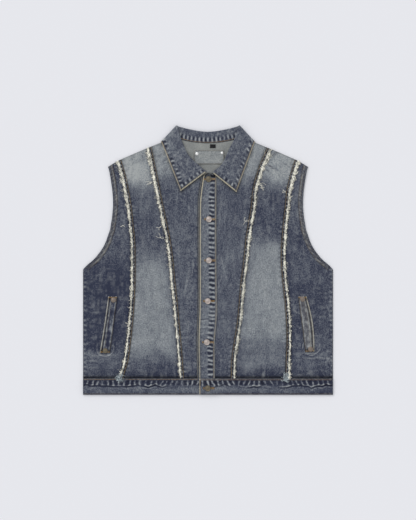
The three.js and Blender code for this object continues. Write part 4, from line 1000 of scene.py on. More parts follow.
def back_panel():
    coarse = GRID * BACK_COARSER
    across = np.linspace(-SHOULDER_TIP["x"], SHOULDER_TIP["x"], int(620 / coarse))
    share = np.linspace(0, 1, int(600 / coarse))[:, None]
    side = np.abs(across)
    top_y = np.where(side > NECK_SIDE["x"], shoulder_y(side), back_neck_y(across))
    y = PANEL_LOW_Y + (top_y[None, :] - PANEL_LOW_Y) * share
    x = across[None, :] * half_width(np.minimum(y, SHOULDER_TIP["y"])) / SHOULDER_TIP["x"]
    lift = back_lift(x, y)
    soft = np.maximum(noises(x, y, (0.35, 55, 70), (0.15, 21, 71)), 0)
    low = lift + soft * (lift < 0.01) * smooth(side_gap(x, y), 0, 30) * 0.6
    marks = {
        "fade": 0.3 + 0.25 * bump(y - 150, 90) + 0.08 * noise(x, y, 60, 72),
        "crest": 0.4 * uneven_wave(y, 12, 73) * bump(BODY_HALF - np.abs(x) - 4, 4),
        "shade": 0.25 * bump(y - back_neck_y(x), 3),
    }
    # The back's outer face looks down, so the sheet is built over from its lower face
    sheet("back_panel", x, y, low, low + CLOTH - 0.05, marks)


def seam_flap(name):
    """The raw edge of a seam, turned outward and stitched down."""
    inward = SEAMS[name]
    reach = FLAP["width"] - FLAP["cord"] - FLAP["fray_gap"]
    t = np.linspace(0, 1, 210)[:, None]
    away = np.linspace(0.4, reach, 6)[None, :]
    point = seam_curve(name, 0)(t[:, 0])
    x = point[:, 0][:, None] - inward * away
    y = point[:, 1][:, None] - FLAP["lean"] * t**4 * away
    wave = uneven_wave(y, 9, 80 + len(name))
    relief = 0.25 * wave * smooth(away, 0.5, 3) - 0.6 * bump(away - 0.4, 1.0)
    shade = 0.3 * bump(away - 0.1, 0.9) + 0.12 + (0.5 - 0.5 * wave) * smooth(away, 1.0, 2.4)
    marks = {"fade": 0.12 + 0.1 * noise(x, y, 8, 82), "crest": 0.9 * wave * smooth(away, 1, 3),
             "shade": np.clip(shade + 0.6 * noise(x, y, 3.8, 81), 0, 1)}
    under = on_front(x, y)
    sheet(f"seam_flap_{name}", x, y, under + FLAP["cloth"] + relief, under, marks)
    height = lambda a, b: on_front(a, b) + FLAP["cloth"] - 0.1
    sew("tan", f"seam_{name}", over_line(seam_x(name, y[:, 0]) - inward, y[:, 0], height), 3.2, 0.5, 0.42)


# Frayed edges: three plies twisted round each other, curled yarns over them and fine fibres
def fray(name, seed):
    rng = np.random.default_rng(seed)
    inward = SEAMS[name]
    curve = seam_curve(name, 0)
    yarns = [
        {"label": "knots", "count": 1350, "across": 1.4, "size": (2.2, 4.2), "width": (0.5, 1.0),
         "turns": (2.0, 6.0), "sides": 5, "least_tone": 0.0},
        {"label": "curls", "count": 1200, "across": 1.6, "size": (2.6, 5.6), "width": (0.3, 0.52),
         "turns": (1.5, 5.0), "sides": 4, "least_tone": 0.1},
        {"label": "fibres", "count": 420, "across": 2.3, "size": (4.0, 9.0), "width": (0.12, 0.24),
         "turns": (0.4, 3.0), "sides": 3, "least_tone": 0.2},
    ]

    def ground(x, y):
        on_band = smooth(BAND_TOP_Y - y, -1, 1)
        return front_lift(x, y) * (1 - on_band) + CLOTH + (band_top(x, y, -inward) - CLOTH) * on_band

    def along(share, away):
        point = curve(share)
        return point[..., 0] - inward * away, point[..., 1] - FLAP["lean"] * np.asarray(share) ** 4 * away

    def thick(share):
        run = np.asarray(share) * FRAY_LENGTH
        lumps = 0.28 * along_noise(run, 15, seed + 1) + 0.42 * along_noise(run, 5.5, seed + 3)
        return 0.92 + 0.42 * smooth(share, 0.72, 0.95) + lumps

    def fringe(label, centres, radius, sides, tone):
        piece = strands(f"fray_{name}_{label}", centres, radius, sides, frayed_cotton, tone)
        if label == FRAY_PLIES[0]:
            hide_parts(f"fray_{name}")

    def ply(label, phase):
        share = np.linspace(0.001, 0.997, 520)
        run = share * FRAY_LENGTH
        varied = lambda size, row: along_noise(run, size, seed, row)
        twist = phase + 2 * math.pi * run / FRAY_TWIST + 2.4 * varied(12, 1) + 0.9 * varied(5, phase + 3)
        full = thick(share)
        sway = 0.9 * varied(9, 11) + 0.5 * varied(2.4, phase)
        x, y = along(share, FRAY_MIDDLE + 1.25 * full * np.cos(twist) + sway)
        z = ground(x, y) + LAY_GAP + 1.1 + 0.5 * np.sin(twist)
        radius = 0.72 * full * (1 + 0.95 * varied(3.4, phase + 20))
        # Darker stretches of a ply are painted shade between the lumps
        tone = np.clip(0.6 + 1.0 * varied(4.2, phase + 31) + 0.5 * varied(1.9, phase + 37), 0, 1)
        fringe(label, np.stack([x, y, z], -1)[None], np.clip(radius, 0.25, 1.9)[None], 6, tone)

    def curled(label, count, across, size, width, turns, sides, least_tone):
        at = np.sort(rng.uniform(0.0, 1.0, count))
        crowd = 1.5 * along_noise(at * FRAY_LENGTH, 4.4, seed + 8) + rng.uniform(-0.6, 1.0, count)
        at = at[crowd > 0.3 - 0.6 * smooth(at, 0.25, 0.8)]
        count = len(at)
        full = thick(at)
        sway = 1.6 * along_noise(at * FRAY_LENGTH, 7, seed + 9)
        away = FRAY_MIDDLE + sway + rng.normal(0, across, count) * full
        root_x, root_y = along(at, away)
        bend = rng.uniform(*turns, count) * rng.choice([-1, 1], count)
        length = rng.uniform(*size, count) * full
        s = np.linspace(0, 1, 6)[None, :]
        angle = rng.uniform(0, 2 * math.pi, count)[:, None] + bend[:, None] * s
        step = length[:, None] / 5
        x = root_x[:, None] + np.cumsum(np.cos(angle) * step, 1)
        y = np.minimum(root_y[:, None] + np.cumsum(np.sin(angle) * step, 1), shoulder_y(np.abs(x)) + 1.5)
        off_middle = np.abs(away - FRAY_MIDDLE)[:, None]
        pile = np.maximum(2.3 - 0.55 * off_middle, 0.4) * rng.uniform(0.5, 1.25, count)[:, None]
        z = ground(x, y) + LAY_GAP + pile * (0.55 + 0.45 * np.sin(math.pi * s))
        thin = rng.uniform(*width, count)[:, None] * (1 - 0.35 * s)
        # Darker patches of curls are painted shade in the gaps of the fray; lighter ones are the cream cotton
        clumps = noise(at * FRAY_LENGTH, 2.5 * away, 3.0, seed + 11)
        tone = np.clip(0.82 + 0.95 * clumps + rng.normal(0, 0.25, count), least_tone, 1)
        fringe(label, np.stack([x, y, z], -1), thin, sides, tone)

    for k, label in enumerate(FRAY_PLIES):
        ply(label, 2 * math.pi * k / len(FRAY_PLIES))
    for kind in yarns:
        curled(**kind)


def loose_threads():
    """Longer threads that have come out of the frays, and the blue and white tangles at the hem."""
    rng = np.random.default_rng(91)
    s = np.linspace(0, 1, 14)
    lines = []
    for spot in LOOSE_THREADS:
        for _ in range(spot["count"]):
            turn = math.radians(spot["turn"]) + rng.normal(0, 0.35)
            bend = rng.normal(0, 1.6)
            angle = turn + bend * (s - 0.2) + 0.5 * np.sin(7 * s + rng.uniform(0, 6))
            step = spot["reach"] * rng.uniform(0.8, 1.25) / 13
            x = spot["x"] + np.cumsum(np.cos(angle)) * step
            y = spot["y"] + np.cumsum(np.sin(angle)) * step
            lines.append(np.stack([x, y, on_front(x, y) + 1.4 + 0.5 * np.sin(math.pi * s)], -1))
    radius = np.full((len(lines), len(s)), 0.42)
    tone = rng.uniform(0.6, 1, len(lines))
    threads = strands("fray_loose_threads", np.array(lines), radius, 4, frayed_cotton, tone)
    for label, at_x, sign, whiteness, count in (("left", -217.5, -1, 0.26, 120),
                                                ("right", 194.0, 1, 0.4, 120)):
        start_x = at_x + rng.uniform(-6.5, 5.0, count)[:, None]
        start_y = -292 + rng.uniform(-5, 10, count)[:, None]
        angle = rng.normal(0, 1.6, count)[:, None] - math.pi / 2
        angle = angle + rng.normal(0, 4.2, count)[:, None] * s[None, ::2]
        step = rng.uniform(5, 10.5, count)[:, None] / 6
        x = start_x + np.cumsum(np.cos(angle), 1) * step
        y = np.maximum(start_y + np.cumsum(np.sin(angle), 1) * step, -317)
        on_band = smooth(BAND_TOP_Y - y, -1.5, 1)
        z = (front_lift(x, y) + CLOTH) * (1 - on_band) + band_top(x, y, sign) * on_band
        z = z + LAY_GAP + rng.uniform(0.3, 2.4, count)[:, None]
        radius = np.broadcast_to(rng.uniform(0.32, 0.8, count)[:, None], x.shape)
        tone = np.clip(rng.normal(whiteness, 0.42, count), 0, 1)
        tangle = strands(f"fray_tangle_{label}", np.stack([x, y, z], -1), radius, 4, blue_cotton, tone)


# Button band and waistband
def plackets():
    share = np.linspace(0, 1, 26)[None, :]
    y = np.linspace(PANEL_LOW_Y, PLACKET_TOP_Y + 4.6, 250)[:, None] + 0 * share
    x = placket_left(y) + (placket_right(y) - placket_left(y)) * share
    wave, reach = placket_shape(x, y)
    from_left = x - placket_left(y)
    from_right = placket_right(y) - x
    fade = 0.34 + 0.09 * noise(x, y, 22, 100) - 0.06 * smooth(-y, 120, 280)
    crossing = sum(sign * bump(y - level - 0.12 * x, 1.3) * (share < 0.7) for level, sign in PLACKET_CREASES)
    speckle = 0.35 * noise(x, y, 3.4, 101)
    shade = 0.42 * bump(from_left - 5.0, 1.5) + 0.3 * bump(from_right - 4.4, 1.0)
    worn_left = (0.9 - 0.45 * smooth(-y, 130, 260)) * fall(from_left, 1.0, 2.2)
    marks = {
        "fade": fade + 0.2 * bump(from_right - 0.9, 1.1) + 0.06 * bump(y + 168, 12),
        "crest": np.clip(reach * (1.7 * wave - 0.15) + crossing + speckle * (0.5 + reach), -1, 1),
        "shade": shade + 0.8 * smooth(y, 199, 211) + 0.6 * reach * np.clip(-wave - 0.1, 0, 1),
        "worn": worn_left + 0.25 * bump(from_right - 0.9, 0.9),
    }
    sheet("placket_top", x, y, placket_top(x, y), PLACKET_BOTTOM, marks)
    y = np.linspace(PANEL_LOW_Y, PLACKET_TOP_Y, 230)[:, None] + 0 * share
    low_x = placket_left(y) - UNDER_STRIP
    x = low_x + (placket_right(y) - UNDER_PLACKET["shy"] - low_x) * share
    marks = {"fade": 0.26, "shade": 0.75 * smooth(share, 0.02, 0.12) + 0.25, "worn": 0.35 * (share < 0.04)}
    bottom = UNDER_PLACKET["bottom"]
    sheet("placket_under", x, y, bottom + UNDER_PLACKET["cloth"], bottom, marks)
    line_y = np.linspace(BAND_TOP_Y + 1, PLACKET_TOP_Y - 2, 400)
    sew("cream", "placket", over_line(placket_left(line_y) + 2.0, line_y, placket_top), 2.9, 0.35, 0.42)
    sew("tan", "placket", over_line(placket_right(line_y) - 2.6, line_y, placket_top), 3.2, 0.5, 0.4)


def waistband():
    band_y = np.linspace(HEM_Y, BAND_TOP_Y - SEAM_GAP / 2, 36)[:, None]
    lap_x = float(placket_left(HEM_Y))
    for label, sign, start, end in (("left", -1, -BODY_HALF, BAND["lap_to"]), ("right", 1, lap_x, BODY_HALF)):
        x = np.linspace(start, end, int((end - start) / 1.6))[None, :] + 0 * band_y
        y = band_y + 0 * x
        wave, reach = band_shape(x, y)
        ridge = band_ridge(x, y)
        fade = 0.07 + 0.13 * bump(y + 321, 7) + 0.07 * noise(x, y, 18, 110)
        speckle = 0.5 * noise(x, y, 3.4, 113) + 0.35 * noise(x, 3 * y, 12, 114)
        shade = 0.3 * bump(BAND_TOP_Y - y - 5, 1.6) + 0.6 * fall(y, HEM_Y + 0.6, HEM_Y + 3)
        shade = shade + 0.6 * reach * np.clip(-wave - 0.2, 0, 1) + 0.5 * np.clip(-ridge, 0, 1)
        end_edge = x - start if sign > 0 else x + 999
        marks = {
            "fade": fade - 0.12 * smooth(x, 200, 300) + 0.09 * smooth(-np.abs(x), -110, -20),
            "crest": np.clip(reach * (wave + 0.35 * speckle) + 0.9 * ridge + 0.4 * speckle, -1, 1),
            "shade": shade,
            "worn": 0.6 * fall(end_edge, 1.2, 2.4) + 0.12 * bump(BAND_TOP_Y - y - 0.6, 0.8),
        }
        sheet(f"waistband_{label}", x, y, band_top(x, y, sign), band_bottom(sign, x), marks)
        line_x = np.linspace(start + 2, (lap_x - 1 if sign < 0 else end) - 2, 500)
        height = lambda a, b, side=sign: band_top(a, b, side)
        upper_y = BAND_TOP_Y - 2.6 - (0.6 if sign > 0 else 0)
        sew("gold", "waistband", over_line(line_x, upper_y, height), 3.1, 0.45, 0.4)
        sew("brown", "waistband", over_line(line_x, HEM_Y + 2.6, height), 3.1, 0.45, 0.4)
        if sign > 0:
            end_y = np.linspace(HEM_Y + 3, BAND_TOP_Y - 3, 30)
            sew("tan", "waistband", over_line(start + 2.2, end_y, height), 2.9, 0.4, 0.4)
    back_y = band_y[::3]
    back_y[-1] = BAND_TOP_Y - SEAM_GAP / 2
    x = np.linspace(-BODY_HALF, BODY_HALF, 250)[None, :] + 0 * back_y
    y = back_y + 0 * x
    marks = {"fade": 0.2 + 0.06 * noise(x, y, 20, 112), "shade": 0.4 * bump(BAND_TOP_Y - y, 2),
             "crest": bump(BAND_TOP_Y - y - 10, 6) * uneven_wave(x, 13, 111)}
    # Its outer face looks down too
    sheet("waistband_back", x, y, 0.0, BAND["back_cloth"] - 0.05, marks)


# Collar
def collar_front(table, point):
    """Stations down one front of the collar: its seam, roll and outer edge."""
    share = np.linspace(0, 1, COLLAR["front_steps"] + 1)
    line = {key: through(table, "share", key)(share) for key in ("roll_x", "roll_y", "seam_x", "seam_y")}
    corner = np.array([math.copysign(COLLAR["corner"][0], point[0]), COLLAR["corner"][1]])
    edge = np.array(point) + (corner - np.array(point)) * share[:, None]
    return [{"turn": 90.0, "front": s, "seam": np.array([line["seam_x"][k], line["seam_y"][k]]),
             "roll": np.array([line["roll_x"][k], line["roll_y"][k]]), "edge": edge[k]}
            for k, s in enumerate(share)]


def collar_back():
    stations = []
    for side in np.linspace(-1, 1, COLLAR["back_steps"] + 1):
        seam_at = side * COLLAR["seam_x"]
        edge_at = side * COLLAR["corner"][0]
        blend_up = abs(side) ** 8
        seam_y = (back_neck_y(seam_at) + 2 * SEAM_GAP) * (1 - blend_up) + COLLAR["seam_side_y"] * blend_up
        roll_y = COLLAR["roll_back_y"] + COLLAR["roll_rise"] * abs(side) ** 1.6
        stations.append({"turn": -90.0, "back": True, "seam": np.array([seam_at, float(seam_y)]),
                         "roll": np.array([side * COLLAR["roll_x"], roll_y]),
                         "edge": np.array([edge_at, float(fall_edge_y(edge_at))])})
    return stations


def collar_corner(station, direction):
    turns = 90 * direction * (1 - 2 * np.linspace(0, 1, COLLAR["corner_steps"] + 1)[1:-1])
    return [{**station, "turn": float(turn)} for turn in turns]


def unit(v):
    return v / np.linalg.norm(v)


def outward(a, b):
    """Level direction square to a run of the collar, away from the neck."""
    along = unit(b - a)
    return np.array([math.copysign(abs(along[1]), a[0]), abs(along[0])])


def collar_line(station):
    """Middle line of the collar's cloth at a station, from the neck seam to the outer edge."""
    seam, roll, edge = station["seam"], station["roll"], station["edge"]
    apex = roll - unit(unit(seam - roll) + unit(edge - roll)) * COLLAR["fold_height"] / 2
    places = [seam, (seam + roll) / 2, roll, apex, roll] + [roll + (edge - roll) * s for s in (0.35, 0.86, 1)]
    begun = float(smooth(station.get("front", 1.0), 0, 0.35))
    stand = COLLAR["stand_front_end"] + (COLLAR["stand_front"] - COLLAR["stand_front_end"]) * begun
    leaf = stand + COLLAR["fold_height"]
    at_seam = float(front_lift(*seam)) + CLOTH / 2
    rests = [float(on_front(*place)) + COLLAR_CLOTH / 2 for place in places[5:]]
    falling = [leaf + (rest - leaf) * s for rest, s in zip(rests, (0.55, 0.97, 1))]
    front = [at_seam, at_seam + (stand - at_seam) * 0.55, stand, (stand + leaf) / 2, leaf, *falling]
    back = COLLAR["stand_back"]
    low = back - COLLAR["fold_height"]
    at_back = float(back_lift(seam[0], BACK_NECK_Y)) + CLOTH / 2
    falling = [low + (COLLAR["fall_rest"] - low) * s for s in (0.85, 0.98, 1)]
    behind = [at_back, (at_back + back) / 2, back, (back + low) / 2, low, *falling]
    turn = math.radians(station["turn"])
    outs = [outward(seam, roll)] * 3 + [outward(roll, edge)] * 5
    line = []
    for place, out, ahead, after in zip(places, outs, front, behind):
        reach = (ahead - after) / 2
        aside = 0 if abs(station["turn"]) == 90 else reach * math.cos(turn)
        line.append([*(place + out * aside), (ahead + after) / 2 + reach * math.sin(turn)])
    return np.array(line)


def inset_line(depth, run, surface):
    """Points of a surface's lines, each at a depth along its own run."""
    return np.array([[np.interp(depth, along, line[:, k]) for k in range(3)]
                     for along, line in zip(run, surface)])


def collar():
    left = collar_front(COLLAR_LEFT, COLLAR["point_left"])
    right = collar_front(COLLAR_RIGHT, COLLAR["point_right"])[::-1]
    stations = left + collar_corner(left[-1], 1) + collar_back() + collar_corner(right[0], -1) + right
    knots = np.array([0, 0.13, 0.26, 0.295, 0.33, 0.56, 0.9, 1.0])
    stand, fold = knots[2], knots[4]
    share = np.unique(np.concatenate([np.linspace(0, stand, 12), np.linspace(stand, fold, 9),
                                      np.linspace(fold, 1, 34)]))
    lines = [collar_line(station) for station in stations]
    column = lambda line, k: through({"share": knots, "at": line[:, k]}, "share", "at")(share)
    middle = np.array([np.stack([column(line, k) for k in range(3)], -1) for line in lines])
    x, y = middle[..., 0], middle[..., 1]
    normal = np.cross(np.gradient(middle, axis=0), np.gradient(middle, axis=1))
    normal /= np.maximum(np.linalg.norm(normal, axis=2, keepdims=True), 1e-9)
    edge_run = run_of(middle[:, -1])[:, None]
    seam_run = run_of(middle[:, 0])[:, None]
    leaf_run = run_of(middle[:, 40])[:, None]
    from_seam = np.array([run_of(line) for line in middle])
    from_edge = from_seam[:, -1:] - from_seam
    from_fold = from_seam - from_seam[:, np.argmin(np.abs(share - fold))][:, None]
    to_end = np.minimum(leaf_run, leaf_run[-1] - leaf_run) + 0 * share[None]
    on_leaf = (share > fold)[None, :]
    is_back = np.array([bool(station.get("back")) for station in stations])[:, None]
    pitch = COLLAR["pucker_pitch"]
    inset = COLLAR["pucker_in"]
    edge_wave = uneven_wave(edge_run + 0.45 * from_edge, pitch, 120, 1.5) * bump(from_edge - inset, 3.9)
    end_wave = uneven_wave(from_fold + 0.45 * to_end, pitch, 121, 1.5) * bump(to_end - inset, 3.9)
    patchy = 0.72 + 0.75 * noise(x, y, 6.5, 127)
    wave = on_leaf * patchy * (edge_wave * smooth(to_end, 4, 10) + end_wave * smooth(from_edge, 4, 10))
    on_stand = is_back * (share < 0.27)[None, :]
    seam_wave = uneven_wave(seam_run, 10.5, 122) * bump(from_seam - 8.5, 5.2) * on_stand
    half = COLLAR_CLOTH / 2
    soft = 0.16 * noise(x, y, 17, 123) * on_leaf
    over = middle + normal * (half + COLLAR["pucker"] * (wave + seam_wave) + soft)[..., None]
    under = middle - normal * half
    if over[10, 40, 2] < under[10, 40, 2]:
        over, under = 2 * middle - over, 2 * middle - under
    piping = 0.6 * fall(from_edge, 1.0, 2.3) + fall(to_end, 1.0, 2.6) * on_leaf
    groove = (0.5 * bump(from_edge - 4.4, 1.3) + 0.45 * bump(to_end - 4.4, 1.3)) * on_leaf
    shade = groove + 0.25 * is_back * bump(from_seam, 2.4) + 0.55 * np.clip(-wave - seam_wave, 0, 1)
    speckle = noises(x, y, (0.3, 3.6, 125), (0.22, 9, 126))
    marks = {
        "fade": 0.22 + 0.05 * noise(x, y, 20, 124) + 0.08 * bump(x + 100, 18) * on_leaf,
        "crest": np.clip(1.7 * wave + 1.6 * seam_wave + speckle, -1, 1),
        "shade": np.clip(shade, 0, 1),
        "worn": np.clip(piping, 0, 1) * 0.95,
    }
    # Both faces of the collar are the outer face of the cloth
    piece = shell("collar", over, under, denim, marks, lining=0)
    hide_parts("collar")
    edge, seam = float(edge_run[-1, 0]) * MM, float(seam_run[-1, 0]) * MM
    round(max(edge, seam), 4)
    edge_line = inset_line(2.3, from_edge[1:-1, ::-1], over[1:-1, ::-1])
    sew("tan", "collar", edge_line, 3.0, 0.35, 0.42)
    for end in (0, len(middle) - 1):
        run = np.abs(leaf_run[:, 0] - leaf_run[end, 0])
        order = np.argsort(run)
        rungs = [j for j in range(len(share)) if share[j] > 0.34 and from_edge[end, j] > 2.3]
        ladder = [over[order, j] for j in rungs]
        sew("cream", "collar", inset_line(2.3, [run[order]] * len(rungs), ladder), 3.0, 0.35, 0.46)
    behind = is_back[:, 0]
    neck_line = inset_line(2.2, from_seam[behind], over[behind])
    sew("gold", "collar", neck_line[4:-4], 3.2, 0.3, 0.5)


# Pockets
def welt_grid(welt, across, along):
    def edge(name):
        start, end = (np.array(point) for point in welt[name])
        return start + (end - start) * along[..., None]

    free, sewn = edge("free"), edge("sewn")
    free[..., 0] += np.sign(free[..., 0]) * welt["bow"] * np.sin(math.pi * along)
    point = free + (sewn - free) * across[..., None]
    return point[..., 0], point[..., 1]


def welt_wave(along, seed):
    return uneven_wave(along * WELT_LENGTH, 16, seed)


def welt_height(across, along, x, y, seed):
    rumple = 0.32 * welt_wave(along, seed) * bump(across - 0.5, 0.3) + 0.15 * noise(x, y, 8, seed + 1)
    groove = 0.35 * (bump(across - 0.28, 0.05) + bump(across - 0.9, 0.05))
    return on_front(x, y) + WELT_CLOTH + rumple - groove + 0.2


def welt(label, shape, k):
    seed = 130 + k
    along, across = np.meshgrid(np.linspace(0, 1, 90), np.linspace(0, 1, 16), indexing="ij")
    x, y = welt_grid(shape, across, along)
    ends = bump(along - 0.045, 0.015) + bump(along - 0.955, 0.02)
    lines = sum(light * bump(across - at, 0.06) for at, light in ((0.05, 0.75), (0.36, 0.75), (0.86, 0.6)))
    rumpled = 1.3 * noise(x, 0.5 * y, 5, 135) + 0.35 * welt_wave(along, seed)
    inner = bump(across - 0.6, 0.2) * (rumpled - 0.45 + 0.15 * k)
    shade = 0.95 * bump(across - 0.2, 0.07) + 0.8 * bump(across - 0.99, 0.06) + 0.7 * ends
    marks = {
        "fade": 0.13 + 0.07 * k + 0.07 * noise(x, y, 9, 132),
        "crest": np.clip(lines + inner + 0.4 * noise(x, y, 5, 133), -1, 1),
        "shade": np.clip(shade, 0, 1),
        "worn": 0.25 * (across < 0.1) + 0.08 * k,
    }
    sheet(f"pocket_welt_{label}", x, y, welt_height(across, along, x, y, seed), on_front(x, y), marks)

    def line(thread, across, along, along_height, rise, *stitch):
        x, y = welt_grid(shape, across, along)
        z = welt_height(across, along_height, x, y, seed) + rise
        sew(thread, f"pocket_{label}", np.stack([x, y, z], -1), *stitch)

    run = np.linspace(0.015, 0.985, 120)
    for share in (0.12, 0.4, 0.93):
        line("brown", np.full_like(run, share), run, run, 0.15, 3.0, 0.45, 0.4)
    side = np.linspace(0.06, 0.96, 40)
    for end in (0.02, 0.98):
        for shift in (-0.007, 0.0, 0.007):
            line("gold", side, np.full_like(side, end + shift), np.full_like(side, end), 0.3, 2.2, 0.3, 0.42)


def pockets():
    bag = POCKET_BAG
    for k, (label, sign) in enumerate((("left", -1), ("right", 1))):
        welt(label, WELTS[label], k)
        u, v = np.meshgrid(np.linspace(0, 1, 24), np.linspace(0, 1, 32))
        x = sign * (bag["inner"] + (bag["outer"] - bag["inner"]) * u)
        y = bag["bottom"] + (bag["top"] - bag["bottom"]) * v
        low = CLOTH + SEAM_GAP
        top = low + bag["cloth"] - 0.15 + 0.12 * noise(x, y, 18, 134)
        sheet(f"pocket_bag_{label}", x, y, top, low, {}, pocketing)


# Buttons, rivets and labels
def turned(name, profile, material, around, x=None, y=None):
    """A round solid in its node's stead, from a profile of its radius and height."""
    low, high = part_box(name)
    if x is None:
        x = (low[0] + high[0]) / 2 / MM
        y = (low[1] + high[1]) / 2 / MM - SHIFT_Y
    angles = np.arange(around) * 2 * math.pi / around
    radii, heights = np.array(profile(low[2] / MM, high[2] / MM, (high[1] - low[1]) / 2 / MM)).T
    ring = np.stack([x + radii[:, None] * np.cos(angles), y + radii[:, None] * np.sin(angles),
                     heights[:, None] + 0 * angles], -1)
    level, k = np.indices((len(radii) - 1, around))
    base = level * around
    beyond = (k + 1) % around
    walls = np.stack([base + k, base + beyond, base + around + beyond, base + around + k], -1).reshape(-1, 4)
    ends = [list(range(around))[::-1], list(range(ring.shape[0] * around))[-around:]]
    piece = mesh_object(f"{name}_metal", ring, walls.tolist() + ends, material)
    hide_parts(name)


def button_profile(low, high, _):
    rim = high - BUTTON["height"]
    r = BUTTON["radius"]
    return [(BUTTON["neck"], low), (BUTTON["neck"], rim), (r - 0.9, rim), (r - 0.25, rim + 0.3),
            (r, rim + 0.9), (r - 0.15, rim + 1.6), (r - 0.7, rim + 2.15), (r - 1.3, rim + 2.25),
            (r - 1.7, rim + 2.0), (r - 2.1, rim + 1.75), (r - 2.6, rim + 1.8), (r - 4.2, rim + 2.2),
            (r - 6.0, rim + 2.45), (0.4, rim + 2.5)]


def rivet_profile(z, top, r):
    return [(r - 0.9, z), (r - 0.2, z + 0.2), (r, z + 0.55), (r - 0.3, z + 0.95), (r - 0.9, z + 1.15),
            (r - 1.6, z + 1.0), (r - 2.3, z + 1.1), (1.8, top - 0.1), (0.3, top)]


def label_rivet_profile(z, top, r):
    return [(r - 0.4, z), (r, z + 0.3), (r - 0.15, z + 0.6), (r - 0.8, z + 0.85), (r - 2, top - 0.1),
            (0.3, top)]


def metal_pieces():
    for k, (x, y) in enumerate(zip(BUTTONS["x"], BUTTONS["y"])):
        # Button 1 lies under the collar, so its darker metal is painted shade; button 6 is darker metal of
        # its own
        finish = aged_and_shaded_metal if k in (0, 5) else button_metal
        turned(f"button_{k + 1}", button_profile, finish, 48, x, y)
    for label in WELTS:
        for at in ("upper", "lower"):
            finish = aged_and_shaded_metal if (at, label) == ("lower", "left") else copper_metal
            turned(f"pocket_rivet_{at}_{label}", rivet_profile, finish, 40)
    for label in WELTS:
        turned(f"label_rivet_{label}", label_rivet_profile, nickel_metal, 32)


def buttonholes():
    half = BUTTONHOLE["half"]
    for k, (x, y) in enumerate(zip(BUTTONS["x"], BUTTONS["y"])):
        height = placket_top if k < 5 else (lambda a, b: band_top(a, b, 1))
        middle = x + BUTTONHOLE["shift"]
        run = np.linspace(middle - half, middle + half, 44)
        for side in (-1, 1):
            for bite in run:
                bite_y = y + side * np.array([0.3, 2.3])
                sew("gold", "buttonholes", over_line(bite, bite_y, height), 2.0, 0.05, 0.3)
        for end in (run[0], run[-1]):
            bar_y = np.linspace(y - 2.6, y + 2.6, 8)
            sew("gold", "buttonholes", over_line(end, bar_y, height), 2.6, 0.1, 0.5)


def on_back(x, y):
    """Height of what is sewn to the back's inner face."""
    return back_lift(x, y) + CLOTH + LAY_GAP


def label_patch(name, box, material):
    x, y = np.meshgrid(np.linspace(box["left"], box["right"], 34), np.linspace(box["bottom"], box["top"], 18))
    under = on_back(x, y)
    rim = np.minimum.reduce([x - box["left"], box["right"] - x, y - box["bottom"], box["top"] - y])
    marks = {"fade": 0.8 + 0.24 * noise(0.6 * x, y, 3.6, 141), "shade": 0.3 * bump(rim - 2.4, 1),
             "worn": 0.25 * (rim < 1), "inside": 0.45}
    over = under + box["cloth"] + 0.12 * noise(x, y, 9, 140)
    sheet(name, x, y, over, under, marks, material)


def labels():
    label_patch("neck_label", LABEL, denim)
    left, right, low, high = LABEL["left"] + 2, LABEL["right"] - 2, LABEL["bottom"] + 2, LABEL["top"] - 2
    corners = [(left, low), (right, low), (right, high), (left, high)]
    for a, b in zip(corners, corners[1:] + corners[:1]):
        side = straight(a, b)(np.linspace(0, 1, 40))
        height = lambda x, y: on_back(x, y) + LABEL["cloth"] + 0.1
        sew("brown", "label", over_line(side[:, 0], side[:, 1], height), 3.2, 0.5, 0.34)
    label_patch("size_tab", SIZE_TAB, black_tape)


def armhole_stitches():
    y = np.concatenate([np.linspace(UNDERARM_Y + 4, 60, 120), np.linspace(61, 229, 120)])
    slope = (half_width(y + 1) - half_width(y - 1)) / 2
    size = np.sqrt(1 + slope**2)
    for sign, label in ((-1, "left"), (1, "right")):
        for inset in (4.2, 10.6):
            x = sign * (half_width(y) - inset / size)
            line = over_line(x, y + slope * inset / size, front_top)
            sew("brown", f"armhole_{label}", line, 3.1, 0.45, 0.38)


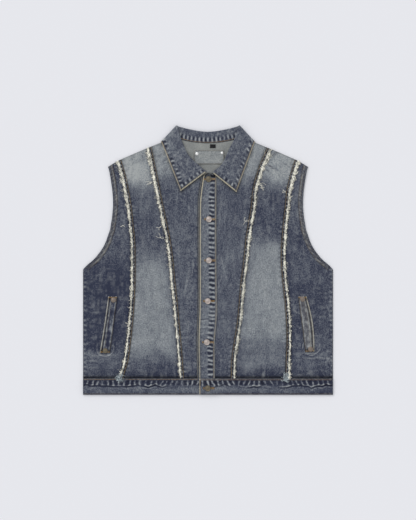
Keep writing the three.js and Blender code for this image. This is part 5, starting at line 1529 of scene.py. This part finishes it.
for place_panel in (side_panel, middle_panel):
    place_panel(-1, "left")
    place_panel(1, "right")
center_panel(-1, "left", COLLAR_LEFT, lambda y: placket_left(y) - UNDER_STRIP - 2 * SEAM_GAP)
center_panel(1, "right", COLLAR_RIGHT, lambda y: placket_right(y) + 2 * SEAM_GAP)
back_panel()
for number, seam_name in enumerate(SEAMS):
    seam_flap(seam_name)
    fray(seam_name, 200 + 10 * number)
loose_threads()
plackets()
waistband()
collar()
pockets()
metal_pieces()
buttonholes()
labels()
armhole_stitches()
make_stitches()


# Floor, light and camera
def pale_floor():
    half, level = 3.0, -0.0003
    mesh = bpy.data.meshes.new("floor")
    mesh.from_pydata([(x, y, level) for x, y in ((-half, -half), (half, -half), (half, half), (-half, half))],
                     [], [(0, 1, 2, 3)])
    pale = {"Base Color": (0.8, 0.808, 0.85, 1), "Roughness": 0.95, "Specular IOR Level": 0.0}
    mesh.materials.append(new_material("pale floor", lambda tree: pale))
    made = bpy.data.objects.new("floor", mesh)
    bpy.context.scene.collection.objects.link(made)
    made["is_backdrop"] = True


def daylight():
    world = bpy.data.worlds.new("soft daylight")
    world.use_nodes = True
    tree = world.node_tree
    set_inputs(tree, tree.nodes["Background"], {"Color": (1, 1, 1, 1), "Strength": 0.74})
    bpy.context.scene.world = world
    lamp = bpy.data.lights.new("window", "SUN")
    lamp.energy = 1.1
    lamp.angle = math.radians(50)
    made = bpy.data.objects.new("window", lamp)
    made.rotation_euler = (math.radians(-34), math.radians(-30), 0)
    bpy.context.scene.collection.objects.link(made)


def camera():
    """The photo's view, straight from above."""
    picture = {"height": 520, "pixel": 2.48, "lens": 100.0, "sensor": 36.0}
    view_height = picture["height"] * picture["pixel"] * MM
    lens = bpy.data.cameras.new("camera")
    lens.lens = picture["lens"]
    lens.sensor_fit = "VERTICAL"
    lens.sensor_height = picture["sensor"]
    lens.clip_end = 20
    made = bpy.data.objects.new("camera", lens)
    made.location = (0, SHIFT_Y * MM, view_height * picture["lens"] / picture["sensor"] + 0.005)
    bpy.context.scene.collection.objects.link(made)
    bpy.context.scene.camera = made
    bpy.context.scene.view_settings.view_transform = "Standard"


pale_floor()
daylight()
camera()
{"cad": [list(corner) for corner in cad_bounds], "visual": [list(corner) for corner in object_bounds()]}
